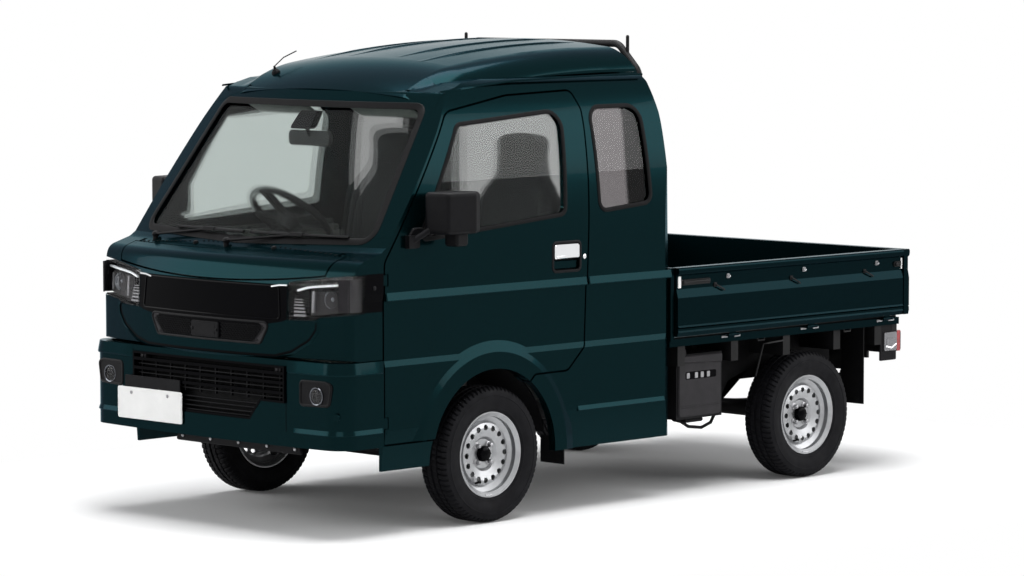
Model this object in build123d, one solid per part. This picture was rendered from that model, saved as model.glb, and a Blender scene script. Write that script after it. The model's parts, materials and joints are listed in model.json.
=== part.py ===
from build123d import *
import math
import os

# A small cab-over truck with an extended high-roof cab and a drop-side bed.
# Everything is drawn in millimetres with y = 0 at the front axle, x to the
# truck's own left, y to the rear and z up from the ground. The written files
# are moved so that the origin is under the middle of the truck's length.

# Overall sizes
LENGTH = 3395.0
WIDTH = 1475.0
HEIGHT = 1885.0
WHEELBASE = 1905.0
FRONT_OVERHANG = 845.0
HALF_WIDTH = WIDTH / 2
FRONT_Y = -FRONT_OVERHANG
REAR_Y = LENGTH - FRONT_OVERHANG
ORIGIN_Y = (FRONT_Y + REAR_Y) / 2
OVERRUN = 20.0
FIT = 0.4
RUNNING_GAP = 6.0

# Tyres and wheels
TYRE_RADIUS = 268.0
TYRE_WIDTH = 145.0
FRONT_TRACK = 1305.0
REAR_TRACK = 1300.0
BEAD_RADIUS = 154.0
RIM_LIP_RADIUS = 168.0
RIM_WIDTH = 119.0
RIM_WALL = 5.0
RIM_WELL_RADIUS = 132.0
DISC_HOLES = 16
DISC_HOLE_RADIUS = 11.0
DISC_HOLE_CIRCLE = 104.0
HUB_CAP_RADIUS = 29.0
HUB_RADIUS = 58.0
SPINDLE_RADIUS = 15.0
SPINDLE_CLEARANCE = 0.4
BRAKE_RADIUS = 112.0
BRAKE_DISC_THICKNESS = 14.0
BACK_PLATE_RADIUS = 100.8
ARCH_RADIUS = 338.0
FLARE_LIP = 66.0
FLARE_SLOPE = 46.0

# Cab surface: places along the truck are measured from the front axle
SIDE_X = 733.0
BAND_X = 726.0
LOWER_X = 731.0
SILL_FOOT_X = 716.0
SILL_FOOT_Z = 255.0
SILL_EDGE_Z = 410.0
LOWER_LINE_Z = 654.0
BAND_BOTTOM_Z = 677.0
BAND_TOP_Z = 905.0
WAIST_Z = 936.0
BELT_Z = 1090.0
TUMBLE_RADIUS = 2300.0
TUMBLE_TURN = 10.3
SHOULDER_RADIUS = 694.0
SHOULDER_TURN = 16.6
GUTTER_RADIUS = 70.0
GUTTER_TURN = 52.0
BASE_ROOF_Z = 1765.0
BASE_ROOF_START_Y = -142.5
BASE_ROOF_START_Z = 1715.0
BASE_ROOF_MID_Y = 225.0
BASE_ROOF_MID_Z = 1749.6
NOSE_PLAN_RADIUS = 3100.0
NOSE_CORNER_RADIUS = 60.0
NOSE_CORNER_TURN = 77.2
NOSE_SWEEP = 60.0
NOSE_CORNER_Y = -709.5
CAB_REAR_Y = 1026.0
CAB_REAR_MID_Z = 966.0
CAB_REAR_TOP_Y = 1003.0
CAB_REAR_TOP_Z = 1577.0
CAB_REAR_EAVE_Y = 985.0
CAB_REAR_EAVE_Z = 1700.0
CAB_REAR_HEAD_Y = 943.0
UNDER_Z = 200.0
CHIN_Y = -800.0
NOSE_BOTTOM_Z = 690.0
NOSE_MID_Z = 820.0
NOSE_TOP_Y = -837.0
NOSE_TOP_Z = 965.0
CREASE_Y = -812.0
CREASE_Z = 1052.0
COWL_Y = -700.0
COWL_Z = 1086.0
SCREEN_FOOT_Y = -672.0
SCREEN_FOOT_Z = 1105.0
SCREEN_HEAD_Y = -291.0
SCREEN_HEAD_Z = 1629.0
HEADER_Y = -255.0
HEADER_Z = 1680.0
HEADER_START_Y = -330.0
HEADER_END_Y = -150.0
HEADER_FOOT_Z = 1580.0
PANEL_WALL = 22.0
DOOR_SKIN = 8.0
DOOR_THICKNESS = 30.0
DOOR_REBATE = 7.0
FRAME_FLANGE = 34.0
FRAME_WALL = 18.0

# High roof
ROOF_START_Y = -250.0
ROOF_START_Z = 1685.0
ROOF_RISE_RADIUS = 571.0
ROOF_RISE_ANGLE = 39.0
ROOF_RISE_TURN = 30.4
ROOF_CROWN_RADIUS = 5500.0
ROOF_CROWN_TURN = 8.6
ROOF_TAIL_LENGTH = 170.0
ROOF_TAIL_FOOT_Y = 1000.0
ROOF_TAIL_FOOT_Z = 1737.0
ROOF_TAIL_HEAD_Y = 905.0
ROOF_CREST_X = 450.0
ROOF_CAMBER = 28.0
ROOF_FOOT_X = 560.0
ROOF_SIDE_DROP = 90.0
ROOF_BULGE_OUT_SHARE = 0.62
ROOF_BULGE_DOWN_SHARE = 0.3
ROOF_DEPTH = 190.0

# Door, window and panel edges, as seen from the side or the front
DOOR_FRONT_Y = -588.0
DOOR_FOOT_Z = 355.0
DOOR_BELT_Z = 1050.0
DOOR_HEAD_FRONT_Y = -200.0
DOOR_HEAD_FRONT_Z = 1609.0
DOOR_HEAD_MID_Y = 150.0
DOOR_HEAD_MID_Z = 1664.0
DOOR_HEAD_REAR_Y = 520.0
DOOR_HEAD_REAR_Z = 1676.0
DOOR_REAR_Y = 552.0
DOOR_REAR_HIGH_Z = 1600.0
DOOR_REAR_MID_Y = 543.0
DOOR_REAR_MID_Z = 1319.0
DOOR_REAR_LOW_Y = 526.0
DOOR_REAR_LOW_Z = 924.0
DOOR_HEEL_Y = 515.0
DOOR_HEEL_Z = 660.0
DOOR_TUCK_Y = 415.0
DOOR_TUCK_Z = 568.0
DOOR_TOE_Y = 225.0
DOOR_ARCH_Y = 157.5
DOOR_ARCH_Z = 504.6
DOOR_RADII = [10.0, 60.0, 70.0, 200.0, 34.0, 30.0, 400.0, 400.0, 40.0, 40.0, 20.0, 10.0, 10.0]
DOOR_GAP = 8.0
HINGE_INSET = 4.0
HINGE_SETBACK = 12.0
DOOR_HINGE_ZS = [420.0, 965.0]
DOOR_HINGE_HEIGHT = 40.0
DOOR_BARREL = 3.6
DOOR_PIN = 2.0
LID_HINGE_Y = -660.0
LID_HINGE_Z = 1072.0
LID_HINGE_X = 575.0
LID_HINGE_WIDTH = 20.0
LID_BARREL = 6.0
LID_PIN = 2.5
LID_ARM_LENGTH = 40.0
HANDLE_FRONT_Y = 331.0
HANDLE_REAR_Y = 484.0
HANDLE_FOOT_Z = 966.0
HANDLE_HEAD_Z = 1078.0
HANDLE_CORNER = 18.0
HANDLE_DEPTH = 22.0

WINDOW_HEAD_FRONT_Y = -155.0
WINDOW_HEAD_FRONT_Z = 1559.0
WINDOW_HEAD_REAR_Y = 428.0
WINDOW_HEAD_REAR_Z = 1601.0
WINDOW_FOOT_REAR_Y = 403.0
WINDOW_FOOT_REAR_Z = 1192.0
WINDOW_FOOT_FRONT_Y = -408.0
WINDOW_FOOT_FRONT_Z = 1126.0
WINDOW_RADII = [40.0, 70.0, 32.0, 24.0]
QUARTER_FRONT_Y = 590.0
QUARTER_HEAD_Y = 886.0
QUARTER_HEAD_Z = 1608.0
QUARTER_REAR_Y = 905.0
QUARTER_FOOT_REAR_Z = 1217.0
QUARTER_FOOT_Y = 606.0
QUARTER_FOOT_Z = 1193.0
QUARTER_RADII = [60.0, 70.0, 40.0, 40.0]
PILLAR_FOOT_Y = -705.6
SCREEN_FOOT_X = 657.0
SCREEN_CORNER_Z = 1127.0
SCREEN_FOOT_MID_Z = 1109.0
SCREEN_HEAD_X = 579.0
SCREEN_CORNER_RADIUS = 45.0
REAR_WINDOW_FOOT_X = 520.0
REAR_WINDOW_FOOT_Z = 1120.0
REAR_WINDOW_HEAD_X = 490.0
REAR_WINDOW_HEAD_Z = 1600.0
REAR_CORNER_X = 560.0
LID_FOOT_X = 600.0
LID_CORNER_Z = 1000.0
LID_HEAD_X = 640.0
LID_GAP = 7.0
LAMP_INNER_X = 434.0
LAMP_FOOT_Z = 831.0
LAMP_STEP_X = 569.0
LAMP_STEP_Z = 847.0
LAMP_STEP_FOOT_Z = 833.4
LAMP_RAMP_X = 589.0
LAMP_INNER_HEAD_Z = 975.0
LAMP_BOWL_WALL = 4.0
LAMP_OUTER_Z = 866.0
LAMP_HEAD_Z = 1012.0
LAMP_SHOULDER_Z = 998.0
LAMP_REAR_Y = -686.0
PANEL_FOOT_X = 404.0
PANEL_FOOT_Z = 822.0
PANEL_HEAD_X = 432.4
PANEL_HEAD_Z = 963.4
PANEL_REAR_Y = -756.0
MESH_HEAD_X = 340.0
MESH_HEAD_Z = 812.0
MESH_FOOT_X = 295.0
MESH_FOOT_Z = 739.0
INTAKE_X = 445.0
INTAKE_HEAD_Z = 657.0
INTAKE_MID_Z = 515.0
INTAKE_LOW_X = 310.0
INTAKE_FOOT_X = 248.0
INTAKE_FOOT_Z = 439.0
BUMPER_BOW = 34.0
BUMPER_CORNER = 90.0
BUMPER_WALL = 18.0
BUMPER_FOOT_Z = 350.0
BUMPER_HEAD_Z = 680.0
BUMPER_LEDGE = 45.0
NOSE_FOOT_Z = 682.4
FOG_X = 606.0
FOG_Z = 553.0
FOG_RADIUS = 30.0
FOG_Y = -825.0
GRILLE_FRONT_Y = -841.0
GRILLE_DEPTH = 27.0
GRILLE_RIM = 9.0
GRILLE_BAR = 12.0
AXIS_Y = FRONT_Y + NOSE_PLAN_RADIUS
SEAM_Y = -500.0
SEAM_Z = 1162.0
SEAM_FRONT_Y = -605.0
LID_REAR_Y = -735.0
JAMB = 10.0
GLASS = 5.0
ROOF_EDGE = [(-306.0, 1631.0), (-236.0, 1632.0), (-200.0, 1689.0), (221.0, 1726.0), (792.0, 1739.0),
             (1050.0, 1736.0)]
INTAKE_BARS = [628.0, 592.0, 553.0]
DISC_CROWN = 30.0
DISC_FACE = 14.0
WELL_OUT_W = 12.0
WELL_IN_W = 20.0
SHOULDER_OUT_W = 24.0
SHOULDER_IN_W = 30.0
ROTOR_RADIUS = 98.0
DRUM_FACE_W = 8.0
DRUM_DEPTH = 58.0
SPINDLE_END_W = 4.0
TYRE_BULGE_RADIUS = 215.0
TYRE_SHOULDER_RADIUS = 250.0
TYRE_EDGE_RADIUS = 262.0
TYRE_EDGE = 13.5
HUB_DEPTH = 34.0
HUB_CAP_HEIGHT = 16.0
CALIPER = 16.0
SPRING_RISE = 70.0
ARM_RADIUS = 13.0
BALL_RADIUS = 16.0
DRAG_RADIUS = 10.4
DRAG_INSET = 60.0
DRAG_RISE = 32.0
SIDE_HINGES = [1388.0, 1890.0, 2395.0]
TAIL_HINGES = [150.0, 560.0]
MIRROR_STEM = 24.0
MIRROR_FOOT_Y = -455.0
MIRROR_FOOT_Z = 1125.0
MIRROR_X = 815.0
MIRROR_Y = -330.0
MIRROR_Z = 1215.0
MIRROR_PLAN = [(757.0, -410.0), (868.0, -380.0), (888.0, -250.0), (868.0, -204.0), (760.0, -262.0)]
MIRROR_FOOT = 1152.0
MIRROR_HEAD = 1313.0
MIRROR_ROUND = 17.0
MIRROR_LOBE = [(788.0, -330.0), (852.0, -318.0), (848.0, -244.0), (788.0, -270.0)]
MIRROR_LOBE_FOOT = 1103.0
MIRROR_LOBE_ROUND = 13.0
DASH_HEAD_Z = 1080.0
DASH_REAR_Y = -440.0
DASH_FACE_Z = 1000.0
DASH_FOOT_Z = 850.0
DASH_BROW_Y = -480.0
DASH_KNEE_Y = -460.0
BRACKET_FRONT_Y = -540.0
BRACKET_FOOT_Z = 750.0
COLUMN_LENGTH = 900.0
COLUMN_GAP = 70.0
COLUMN_RADIUS = 24.0
SPOKE = 34.0
SPOKE_TURNS = [-12.0, 192.0, 270.0]
STEERING_HUB_RADIUS = 38.4
WIPER_LIFT = 9.0
WIPER_BOSS = 11.0
WIPER_ARM = 5.0
# Wipers: pivot x, pivot y, blade middle x, blade z, blade length
WIPERS = [(-519.0, -655.0, -200.0, 1140.0, 420.0), (-36.0, -705.0, 300.0, 1140.0, 500.0)]

# Seats, dashboard and controls
STEERING_X = -330.0
STEERING_Y = -95.0
STEERING_Z = 1150.0
STEERING_TILT = 48.0
STEERING_RADIUS = 180.0
STEERING_GRIP = 14.0
FLOOR_Z = 430.0
DECK_Z = 655.0
DECK_FRONT_Y = -345.0
FLOOR_SHEET = 12.0
BULKHEAD_Y = -735.0
HOUSING_INNER_X = 405.0
HOUSING_OUTER_X = 668.0
HOUSING_RADIUS = 345.0
HOUSING_FOOT_Z = 324.0
FRONT_MOUNT_Y = -425.0
MOUNT_LENGTH = 40.0

# Bed
BED_FLOOR_Z = 650.0
BED_FLOOR_SHEET = 12.0
BED_FRONT_Y = 1051.0
BED_RECESS_Y = 540.0
BED_RECESS_HALF = 590.0
BED_RECESS_TOP_Z = 905.0
GATE_TOP_Z = 940.0
GATE_BOTTOM_Z = 657.0
GATE_RAIL_Z = 911.0
GATE_RECESS_Z = 851.0
GATE_BEVEL_Z = 816.0
GATE_RIB_Z = 694.0
GATE_RIB_STEP = 21.0
GATE_RECESS = 9.0
GATE_RIB_DEPTH = 5.0
GATE_THICKNESS = 35.5
GATE_END_GAP = 7.0
HINGE_BARREL = 6.5
HINGE_PIN = 3.5
HINGE_AXIS_Z = 645.0
HINGE_LENGTH = 36.0
HINGE_LUG = 12.0
SIDE_RAIL_Z = 615.0
SIDE_RAIL_X = 716.0
SIDE_RAIL_WALL = 16.0

# Seats
SEAT_X = 365.0
SEAT_WIDTH = 480.0
CUSHION_FRONT_Y = -100.0
CUSHION_REAR_Y = 398.0
CUSHION_HEIGHT = 150.0
BACK_TOP_Z = 1345.0
BACK_THICKNESS = 115.0
BACK_LEAN = 95.0
BACK_HEEL_Z = 925.0
BACK_SHOULDER_Z = 1215.0
BACK_CORNER_RADII = [10.0, 90.0, 60.0, 50.0, 50.0, 60.0, 90.0, 10.0]
HEADREST_WIDTH = 250.0
HEADREST_HEIGHT = 165.0
HEADREST_THICKNESS = 85.0
SOFT_GAP = 0.4

# Guard hoop behind the cab
HOOP_RADIUS = 15.0
HOOP_BEND_RADIUS = 60.0
HOOP_Y = 1041.0
HOOP_LEG_X = 533.0
HOOP_TOP_X = 419.0
HOOP_TOP_Z = 1849.0
HOOP_BEND_Z = 1735.0
HOOP_HOOK_X = 470.0
HOOP_HOOK_RADIUS = 7.0

# Frame and running gear
KINGPIN_INSET = 100.5
STRUT_RADIUS = 20.0
KNUCKLE_FOOT_Z = 205.0
STUD_RADIUS = 6.0
STRUT_TOP_Z = 606.0
BALL_JOINT_Z = 170.0
STEER_ARM = 130.0
STEER_ARM_Z = 230.0
RACK_RADIUS = 13.0
RACK_SLEEVE = 20.0
RACK_HOLDER_X = 200.0
AXLE_TUBE_RADIUS = 32.0
SPRING_X = 475.0
SPRING_HALF_LENGTH = 540.0
SPRING_WIDTH = 50.0
LEAF = 8.0
LEAF_SHARES = [1.0, 0.72, 0.48]
SPRING_CLAMP = 35.0
ENGINE_HALF_WIDTH = 270.0
ENGINE_FRONT_Y = 165.0
ENGINE_REAR_Y = 490.0
ENGINE_BOTTOM_Z = 190.0
ENGINE_TOP_Z = 590.0
CROSSMEMBER_RADIUS = 24.0
CROSSMEMBERS = [-640.0, 130.0, 820.0, 1560.0, 2330.0]
SILLS = [1120.0, 1450.0, 1780.0, 2110.0, 2385.0]
SILL_WIDTH = 44.0
DIFF_RADIUS = 95.0
DIFF_NOSE_LENGTH = 152.0
DIFF_NOSE_RADIUS = 42.0
SHAFT_RADIUS = 28.0
TANK_FRONT_Y = 1120.0
TANK_REAR_Y = 1480.0
TANK_INNER_X = 520.0
TANK_OUTER_X = 690.0
TANK_STRAP_X = 621.0
TANK_BOTTOM_Z = 290.0
TANK_TOP_Z = 520.0
AIR_BOX_FRONT_Y = 1112.0
AIR_BOX_REAR_Y = 1392.0
AIR_BOX_INNER_X = 540.0
AIR_BOX_OUTER_X = 680.0
AIR_BOX_BOTTOM_Z = 306.0
AIR_BOX_TOP_Z = 574.0
MUFFLER_RADIUS = 75.0
MUFFLER_FRONT_Y = 2130.0
MUFFLER_REAR_Y = 2420.0
MUFFLER_X = -250.0
MUFFLER_Z = 330.0
TAIL_PIPE_RADIUS = 18.0
TAIL_FRAME_Y = 2500.0
TAIL_FRAME_Z = 455.0
TAIL_FRAME_SHEET = 14.0
LAMP_BOX_FRONT_Y = 2420.0
LAMP_BOX_REAR_Y = 2538.0
LAMP_BOX_INNER_X = 545.0
LAMP_BOX_OUTER_X = 700.0
LAMP_BOX_BOTTOM_Z = 495.0
LAMP_BOX_TOP_Z = 585.0
REAR_LENS = 24.0
FLAP_SHEET = 5.0
FLAP_INNER_X = 575.0
FLAP_OUTER_X = 718.0
FRONT_FLAP_Y = 420.0
FRONT_FLAP_FOOT_Z = 190.0
FRONT_FLAP_HEAD_Z = 300.0
REAR_FLAP_Y = 2290.0
REAR_FLAP_FOOT_Z = 280.0
RAIL_X = 335.0
RAIL_WIDTH = 50.0
RAIL_BOTTOM_Z = 330.0
RAIL_HEIGHT = 80.0
RAIL_REAR_Z = 450.0
RAIL_START_Y = -700.0
RAIL_KICK_Y = 1000.0
RAIL_KICK_RUN = 250.0
RAIL_KICK_LEAD = 26.7
RAIL_END_Y = 2480.0

parts = {}


def keep(name, shape):
    parts[name] = shape


def profile(corners, radius=0.0):
    """A flat face in its own plane, with corners rounded by one radius or a list."""
    if radius:
        return make_face(FilletPolyline(*corners, radius=radius, close=True))
    return make_face(Polyline(*corners, close=True))


def along_x(face, x0, x1):
    """Stretch a face drawn in (y, z) from x0 to x1."""
    return extrude(Plane((x0, 0, 0), x_dir=(0, 1, 0), z_dir=(1, 0, 0)) * face, amount=x1 - x0)


def along_y(face, y0, y1):
    """Stretch a face drawn in (x, z) from y0 to y1."""
    return extrude(Plane((0, y1, 0), x_dir=(1, 0, 0), z_dir=(0, -1, 0)) * face, amount=y1 - y0)


def along_z(face, z0, z1):
    """Stretch a face drawn in (x, y) from z0 to z1."""
    return extrude(Pos(0, 0, z0) * face, amount=z1 - z0)


def block(x0, x1, y0, y1, z0, z1):
    """A box between two corners."""
    middle = ((x0 + x1) / 2, (y0 + y1) / 2, (z0 + z1) / 2)
    return Pos(*middle) * Box(x1 - x0, y1 - y0, z1 - z0)


def both_sides(shape):
    return shape + mirror(shape, Plane.YZ)


def other_side(shape):
    return mirror(shape, Plane.YZ)


def bar_x(radius, x0, x1, y, z):
    """A round bar across the truck."""
    return Pos((x0 + x1) / 2, y, z) * Rot(0, 90, 0) * Cylinder(radius, x1 - x0)


def bar_y(radius, y0, y1, x, z):
    """A round bar along the truck."""
    return Pos(x, (y0 + y1) / 2, z) * Rot(90, 0, 0) * Cylinder(radius, y1 - y0)


def rod(start, end, radius):
    """A round bar from one point to another."""
    line = Line(start, end)
    return extrude(Plane(origin=start, z_dir=line % 0) * Circle(radius), amount=line.length)


def ring_x(corners, x, y, z):
    """Turn a face drawn in (radius, x offset) about a cross-wise axis."""
    face = Plane((0, 0, 0), x_dir=(0, 1, 0), z_dir=(0, 0, 1)) * profile([(r, -w) for r, w in corners])
    return Pos(x, y, z) * revolve(face, axis=Axis.X)


# Cab surface


def cab_section(inset, pressed):
    """Half of the cab seen from the front, mirrored: straight sides, tumblehome, gutter."""
    side = SIDE_X - inset
    if pressed:
        corners = [
            (0, UNDER_Z), (SILL_FOOT_X, UNDER_Z), (SILL_FOOT_X, SILL_FOOT_Z), (LOWER_X, SILL_EDGE_Z),
            (LOWER_X, LOWER_LINE_Z), (BAND_X, BAND_BOTTOM_Z), (BAND_X, BAND_TOP_Z),
            (SIDE_X, WAIST_Z), (SIDE_X, BELT_Z),
        ]
    else:
        low = BAND_X - inset
        corners = [(0, UNDER_Z), (low, UNDER_Z), (low, BAND_TOP_Z), (side, WAIST_Z), (side, BELT_Z)]
    wall = Polyline(*corners)
    tumble = JernArc(start=corners[-1], tangent=(0, 1), radius=TUMBLE_RADIUS - inset, arc_size=TUMBLE_TURN)
    shoulder = JernArc(tumble @ 1, tumble % 1, SHOULDER_RADIUS - inset, SHOULDER_TURN)
    gutter = JernArc(shoulder @ 1, shoulder % 1, GUTTER_RADIUS - inset, GUTTER_TURN)
    eave = gutter @ 1
    lid = Polyline((eave.X, eave.Y), (0, BASE_ROOF_Z - inset), (0, UNDER_Z))
    half = make_face(wall.edges() + tumble.edges() + shoulder.edges() + gutter.edges() + lid.edges())
    return half + mirror(half, Plane.YZ)


def cab_profile(inset):
    """The cab's centre line seen from the side: chin, nose, screen and roof."""
    back = CAB_REAR_Y + ROOF_DEPTH
    corners = [
        (back, UNDER_Z), (CHIN_Y, UNDER_Z), (CHIN_Y, NOSE_BOTTOM_Z - RUNNING_GAP),
        (FRONT_Y, NOSE_BOTTOM_Z), (FRONT_Y, NOSE_MID_Z), (NOSE_TOP_Y, NOSE_TOP_Z),
        (CREASE_Y, CREASE_Z), (COWL_Y, COWL_Z), (SCREEN_FOOT_Y, SCREEN_FOOT_Z),
        (SCREEN_HEAD_Y, SCREEN_HEAD_Z), (HEADER_Y, HEADER_Z),
        (BASE_ROOF_START_Y, BASE_ROOF_START_Z), (BASE_ROOF_MID_Y, BASE_ROOF_MID_Z), (back, BASE_ROOF_Z),
    ]
    face = profile(corners)
    if inset:
        return offset(face, -inset, kind=Kind.INTERSECTION)
    bends = [(CREASE_Y, CREASE_Z, NOSE_CORNER_RADIUS), (COWL_Y, COWL_Z, NOSE_CORNER_RADIUS),
             (SCREEN_HEAD_Y, SCREEN_HEAD_Z, NOSE_CORNER_RADIUS)]
    for y, z, radius in bends:
        corner = face.vertices().sort_by_distance((y, z, 0))[0]
        face = fillet(corner, radius)
    return face


def nose_corners():
    """The plan outline that rounds the two front corners of the cab."""
    arc = JernArc((SIDE_X, NOSE_CORNER_Y), (0, -1), NOSE_CORNER_RADIUS, -NOSE_CORNER_TURN)
    end = arc @ 1
    reach = arc % 1
    tip = end.Y + reach.Y / -reach.X * end.X
    rear = CAB_REAR_Y + ROOF_DEPTH
    rest = Polyline((0, tip), (0, rear), (SIDE_X + OVERRUN, rear), (SIDE_X, NOSE_CORNER_Y))
    close = Line((end.X, end.Y), (0, tip))
    half = make_face(arc.edges() + close.edges() + rest.edges())
    return along_z(half + mirror(half, Plane.YZ), 0, HEIGHT)


def cab_form(inset, pressed):
    """The solid inside the cab's outer surface, or inside a wall as thick as the inset."""
    face = Plane.YZ * cab_profile(inset)
    turned = revolve(face, axis=Axis((0, AXIS_Y, 0), (0, 0, 1)), revolution_arc=NOSE_SWEEP)
    turned = Pos(0, AXIS_Y, 0) * Rot(0, 0, -NOSE_SWEEP / 2) * Pos(0, -AXIS_Y, 0) * turned
    tube = along_y(cab_section(inset, pressed), FRONT_Y - OVERRUN, CAB_REAR_Y + OVERRUN)
    rear = profile([
        (FRONT_Y - OVERRUN, 0), (CAB_REAR_Y - inset, 0), (CAB_REAR_Y - inset, CAB_REAR_MID_Z),
        (CAB_REAR_TOP_Y - inset, CAB_REAR_TOP_Z), (CAB_REAR_EAVE_Y - inset, CAB_REAR_EAVE_Z),
        (CAB_REAR_HEAD_Y - inset, HEIGHT), (FRONT_Y - OVERRUN, HEIGHT),
    ])
    solid = turned & tube & along_x(rear, -HALF_WIDTH, HALF_WIDTH)
    if pressed:
        solid = solid & nose_corners()
    return solid


def roof_sweep(inset):
    """The raised middle of the roof, swept along its centre line."""
    crest = ROOF_CREST_X - inset
    foot = ROOF_FOOT_X - inset
    top = -inset
    edge = top - ROOF_CAMBER
    low = edge - ROOF_SIDE_DROP
    bulge_x = crest + (foot - crest) * ROOF_BULGE_OUT_SHARE
    bulge_z = edge - ROOF_SIDE_DROP * ROOF_BULGE_DOWN_SHARE
    arc = ThreePointArc((-crest, edge), (0, top), (crest, edge))
    left = ThreePointArc((crest, edge), (bulge_x, bulge_z), (foot, low))
    right = ThreePointArc((-crest, edge), (-bulge_x, bulge_z), (-foot, low))
    rest = Polyline((foot, low), (foot, -ROOF_DEPTH), (-foot, -ROOF_DEPTH), (-foot, low))
    face = make_face(arc.edges() + left.edges() + right.edges() + rest.edges())
    lean = math.radians(ROOF_RISE_ANGLE)
    y, z = ROOF_START_Y, ROOF_START_Z
    pieces = []
    for radius, turn in ((ROOF_RISE_RADIUS, ROOF_RISE_TURN), (ROOF_CROWN_RADIUS, ROOF_CROWN_TURN)):
        start = Plane(origin=(0, y, z), x_dir=(1, 0, 0), z_dir=(0, -math.cos(lean), -math.sin(lean)))
        centre_y, centre_z = y + radius * math.sin(lean), z - radius * math.cos(lean)
        pieces.append(revolve(start * face, axis=Axis((0, centre_y, centre_z), (-1, 0, 0)),
                              revolution_arc=turn))
        lean -= math.radians(turn)
        y, z = centre_y - radius * math.sin(lean), centre_z + radius * math.cos(lean)
    end = Plane(origin=(0, y, z), x_dir=(1, 0, 0), z_dir=(0, -math.cos(lean), -math.sin(lean)))
    tail = extrude(end * face, amount=-ROOF_TAIL_LENGTH)
    rear = profile([
        (ROOF_START_Y * 2, 0), (ROOF_TAIL_FOOT_Y - inset, 0), (ROOF_TAIL_FOOT_Y - inset, ROOF_TAIL_FOOT_Z),
        (ROOF_TAIL_HEAD_Y - inset, HEIGHT), (ROOF_START_Y * 2, HEIGHT),
    ])
    return (pieces[0] + pieces[1] + tail) & along_x(rear, -HALF_WIDTH, HALF_WIDTH)


def door_outline(grow):
    """The door as seen from the side, with its rounded corners, grown or shrunk."""
    corners = [
        (DOOR_FRONT_Y, DOOR_FOOT_Z), (DOOR_FRONT_Y, DOOR_BELT_Z), (DOOR_HEAD_FRONT_Y, DOOR_HEAD_FRONT_Z),
        (DOOR_HEAD_MID_Y, DOOR_HEAD_MID_Z), (DOOR_HEAD_REAR_Y, DOOR_HEAD_REAR_Z), (DOOR_REAR_Y,
                DOOR_REAR_HIGH_Z),
        (DOOR_REAR_MID_Y, DOOR_REAR_MID_Z), (DOOR_REAR_LOW_Y, DOOR_REAR_LOW_Z), (DOOR_HEEL_Y, DOOR_HEEL_Z),
        (DOOR_TUCK_Y, DOOR_TUCK_Z), (DOOR_TOE_Y, DOOR_TUCK_Z), (DOOR_ARCH_Y, DOOR_ARCH_Z),
        (-DOOR_TOE_Y, DOOR_FOOT_Z),
    ]
    face = profile(corners, DOOR_RADII)
    return offset(face, grow) if grow else face


def window_outline(grow):
    """The door's window as seen from the side."""
    corners = [(WINDOW_HEAD_FRONT_Y, WINDOW_HEAD_FRONT_Z), (WINDOW_HEAD_REAR_Y, WINDOW_HEAD_REAR_Z),
               (WINDOW_FOOT_REAR_Y, WINDOW_FOOT_REAR_Z), (WINDOW_FOOT_FRONT_Y, WINDOW_FOOT_FRONT_Z)]
    face = profile(corners, WINDOW_RADII)
    return offset(face, grow) if grow else face


def quarter_outline(grow):
    """The fixed window behind the door as seen from the side."""
    corners = [(QUARTER_FRONT_Y, QUARTER_HEAD_Z), (QUARTER_HEAD_Y, QUARTER_HEAD_Z),
               (QUARTER_REAR_Y, QUARTER_FOOT_REAR_Z), (QUARTER_FOOT_Y, QUARTER_FOOT_Z)]
    face = profile(corners, QUARTER_RADII)
    return offset(face, grow) if grow else face


def screen_outline(grow):
    """The windscreen as seen from the front."""
    foot = ThreePointArc((-SCREEN_FOOT_X, SCREEN_CORNER_Z), (0, SCREEN_FOOT_MID_Z),
                         (SCREEN_FOOT_X, SCREEN_CORNER_Z))
    rest = Polyline((SCREEN_FOOT_X, SCREEN_CORNER_Z), (SCREEN_HEAD_X, SCREEN_HEAD_Z),
                    (-SCREEN_HEAD_X, SCREEN_HEAD_Z),
                    (-SCREEN_FOOT_X, SCREEN_CORNER_Z))
    face = make_face(foot.edges() + rest.edges())
    face = fillet(face.vertices(), SCREEN_CORNER_RADIUS)
    return offset(face, grow) if grow else face


def rear_window_outline(grow):
    """The rear window as seen from behind."""
    corners = [(-REAR_WINDOW_FOOT_X, REAR_WINDOW_FOOT_Z), (REAR_WINDOW_FOOT_X, REAR_WINDOW_FOOT_Z),
               (REAR_WINDOW_HEAD_X, REAR_WINDOW_HEAD_Z), (-REAR_WINDOW_HEAD_X, REAR_WINDOW_HEAD_Z)]
    face = profile(corners, SCREEN_CORNER_RADIUS)
    return offset(face, grow) if grow else face


def lid_outline(grow):
    """The front service lid as seen from the front."""
    foot = ThreePointArc((-LID_FOOT_X, LID_CORNER_Z), (0, NOSE_TOP_Z), (LID_FOOT_X, LID_CORNER_Z))
    rest = Polyline((LID_FOOT_X, LID_CORNER_Z), (LID_HEAD_X, SCREEN_CORNER_Z), (-LID_HEAD_X, SCREEN_CORNER_Z),
                    (-LID_FOOT_X, LID_CORNER_Z))
    face = make_face(foot.edges() + rest.edges())
    return offset(face, grow, kind=Kind.INTERSECTION) if grow else face


def lamp_outline(grow):
    """The left headlamp as seen from the front."""
    corners = [(LAMP_INNER_X, LAMP_FOOT_Z), (LAMP_STEP_X, LAMP_STEP_FOOT_Z), (LAMP_RAMP_X, LAMP_STEP_Z),
               (HALF_WIDTH + OVERRUN, LAMP_OUTER_Z), (HALF_WIDTH + OVERRUN, LAMP_HEAD_Z), (LID_FOOT_X,
                       LAMP_SHOULDER_Z),
               (LAMP_INNER_X, LAMP_INNER_HEAD_Z)]
    face = profile(corners)
    return offset(face, grow, kind=Kind.INTERSECTION) if grow else face


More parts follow.
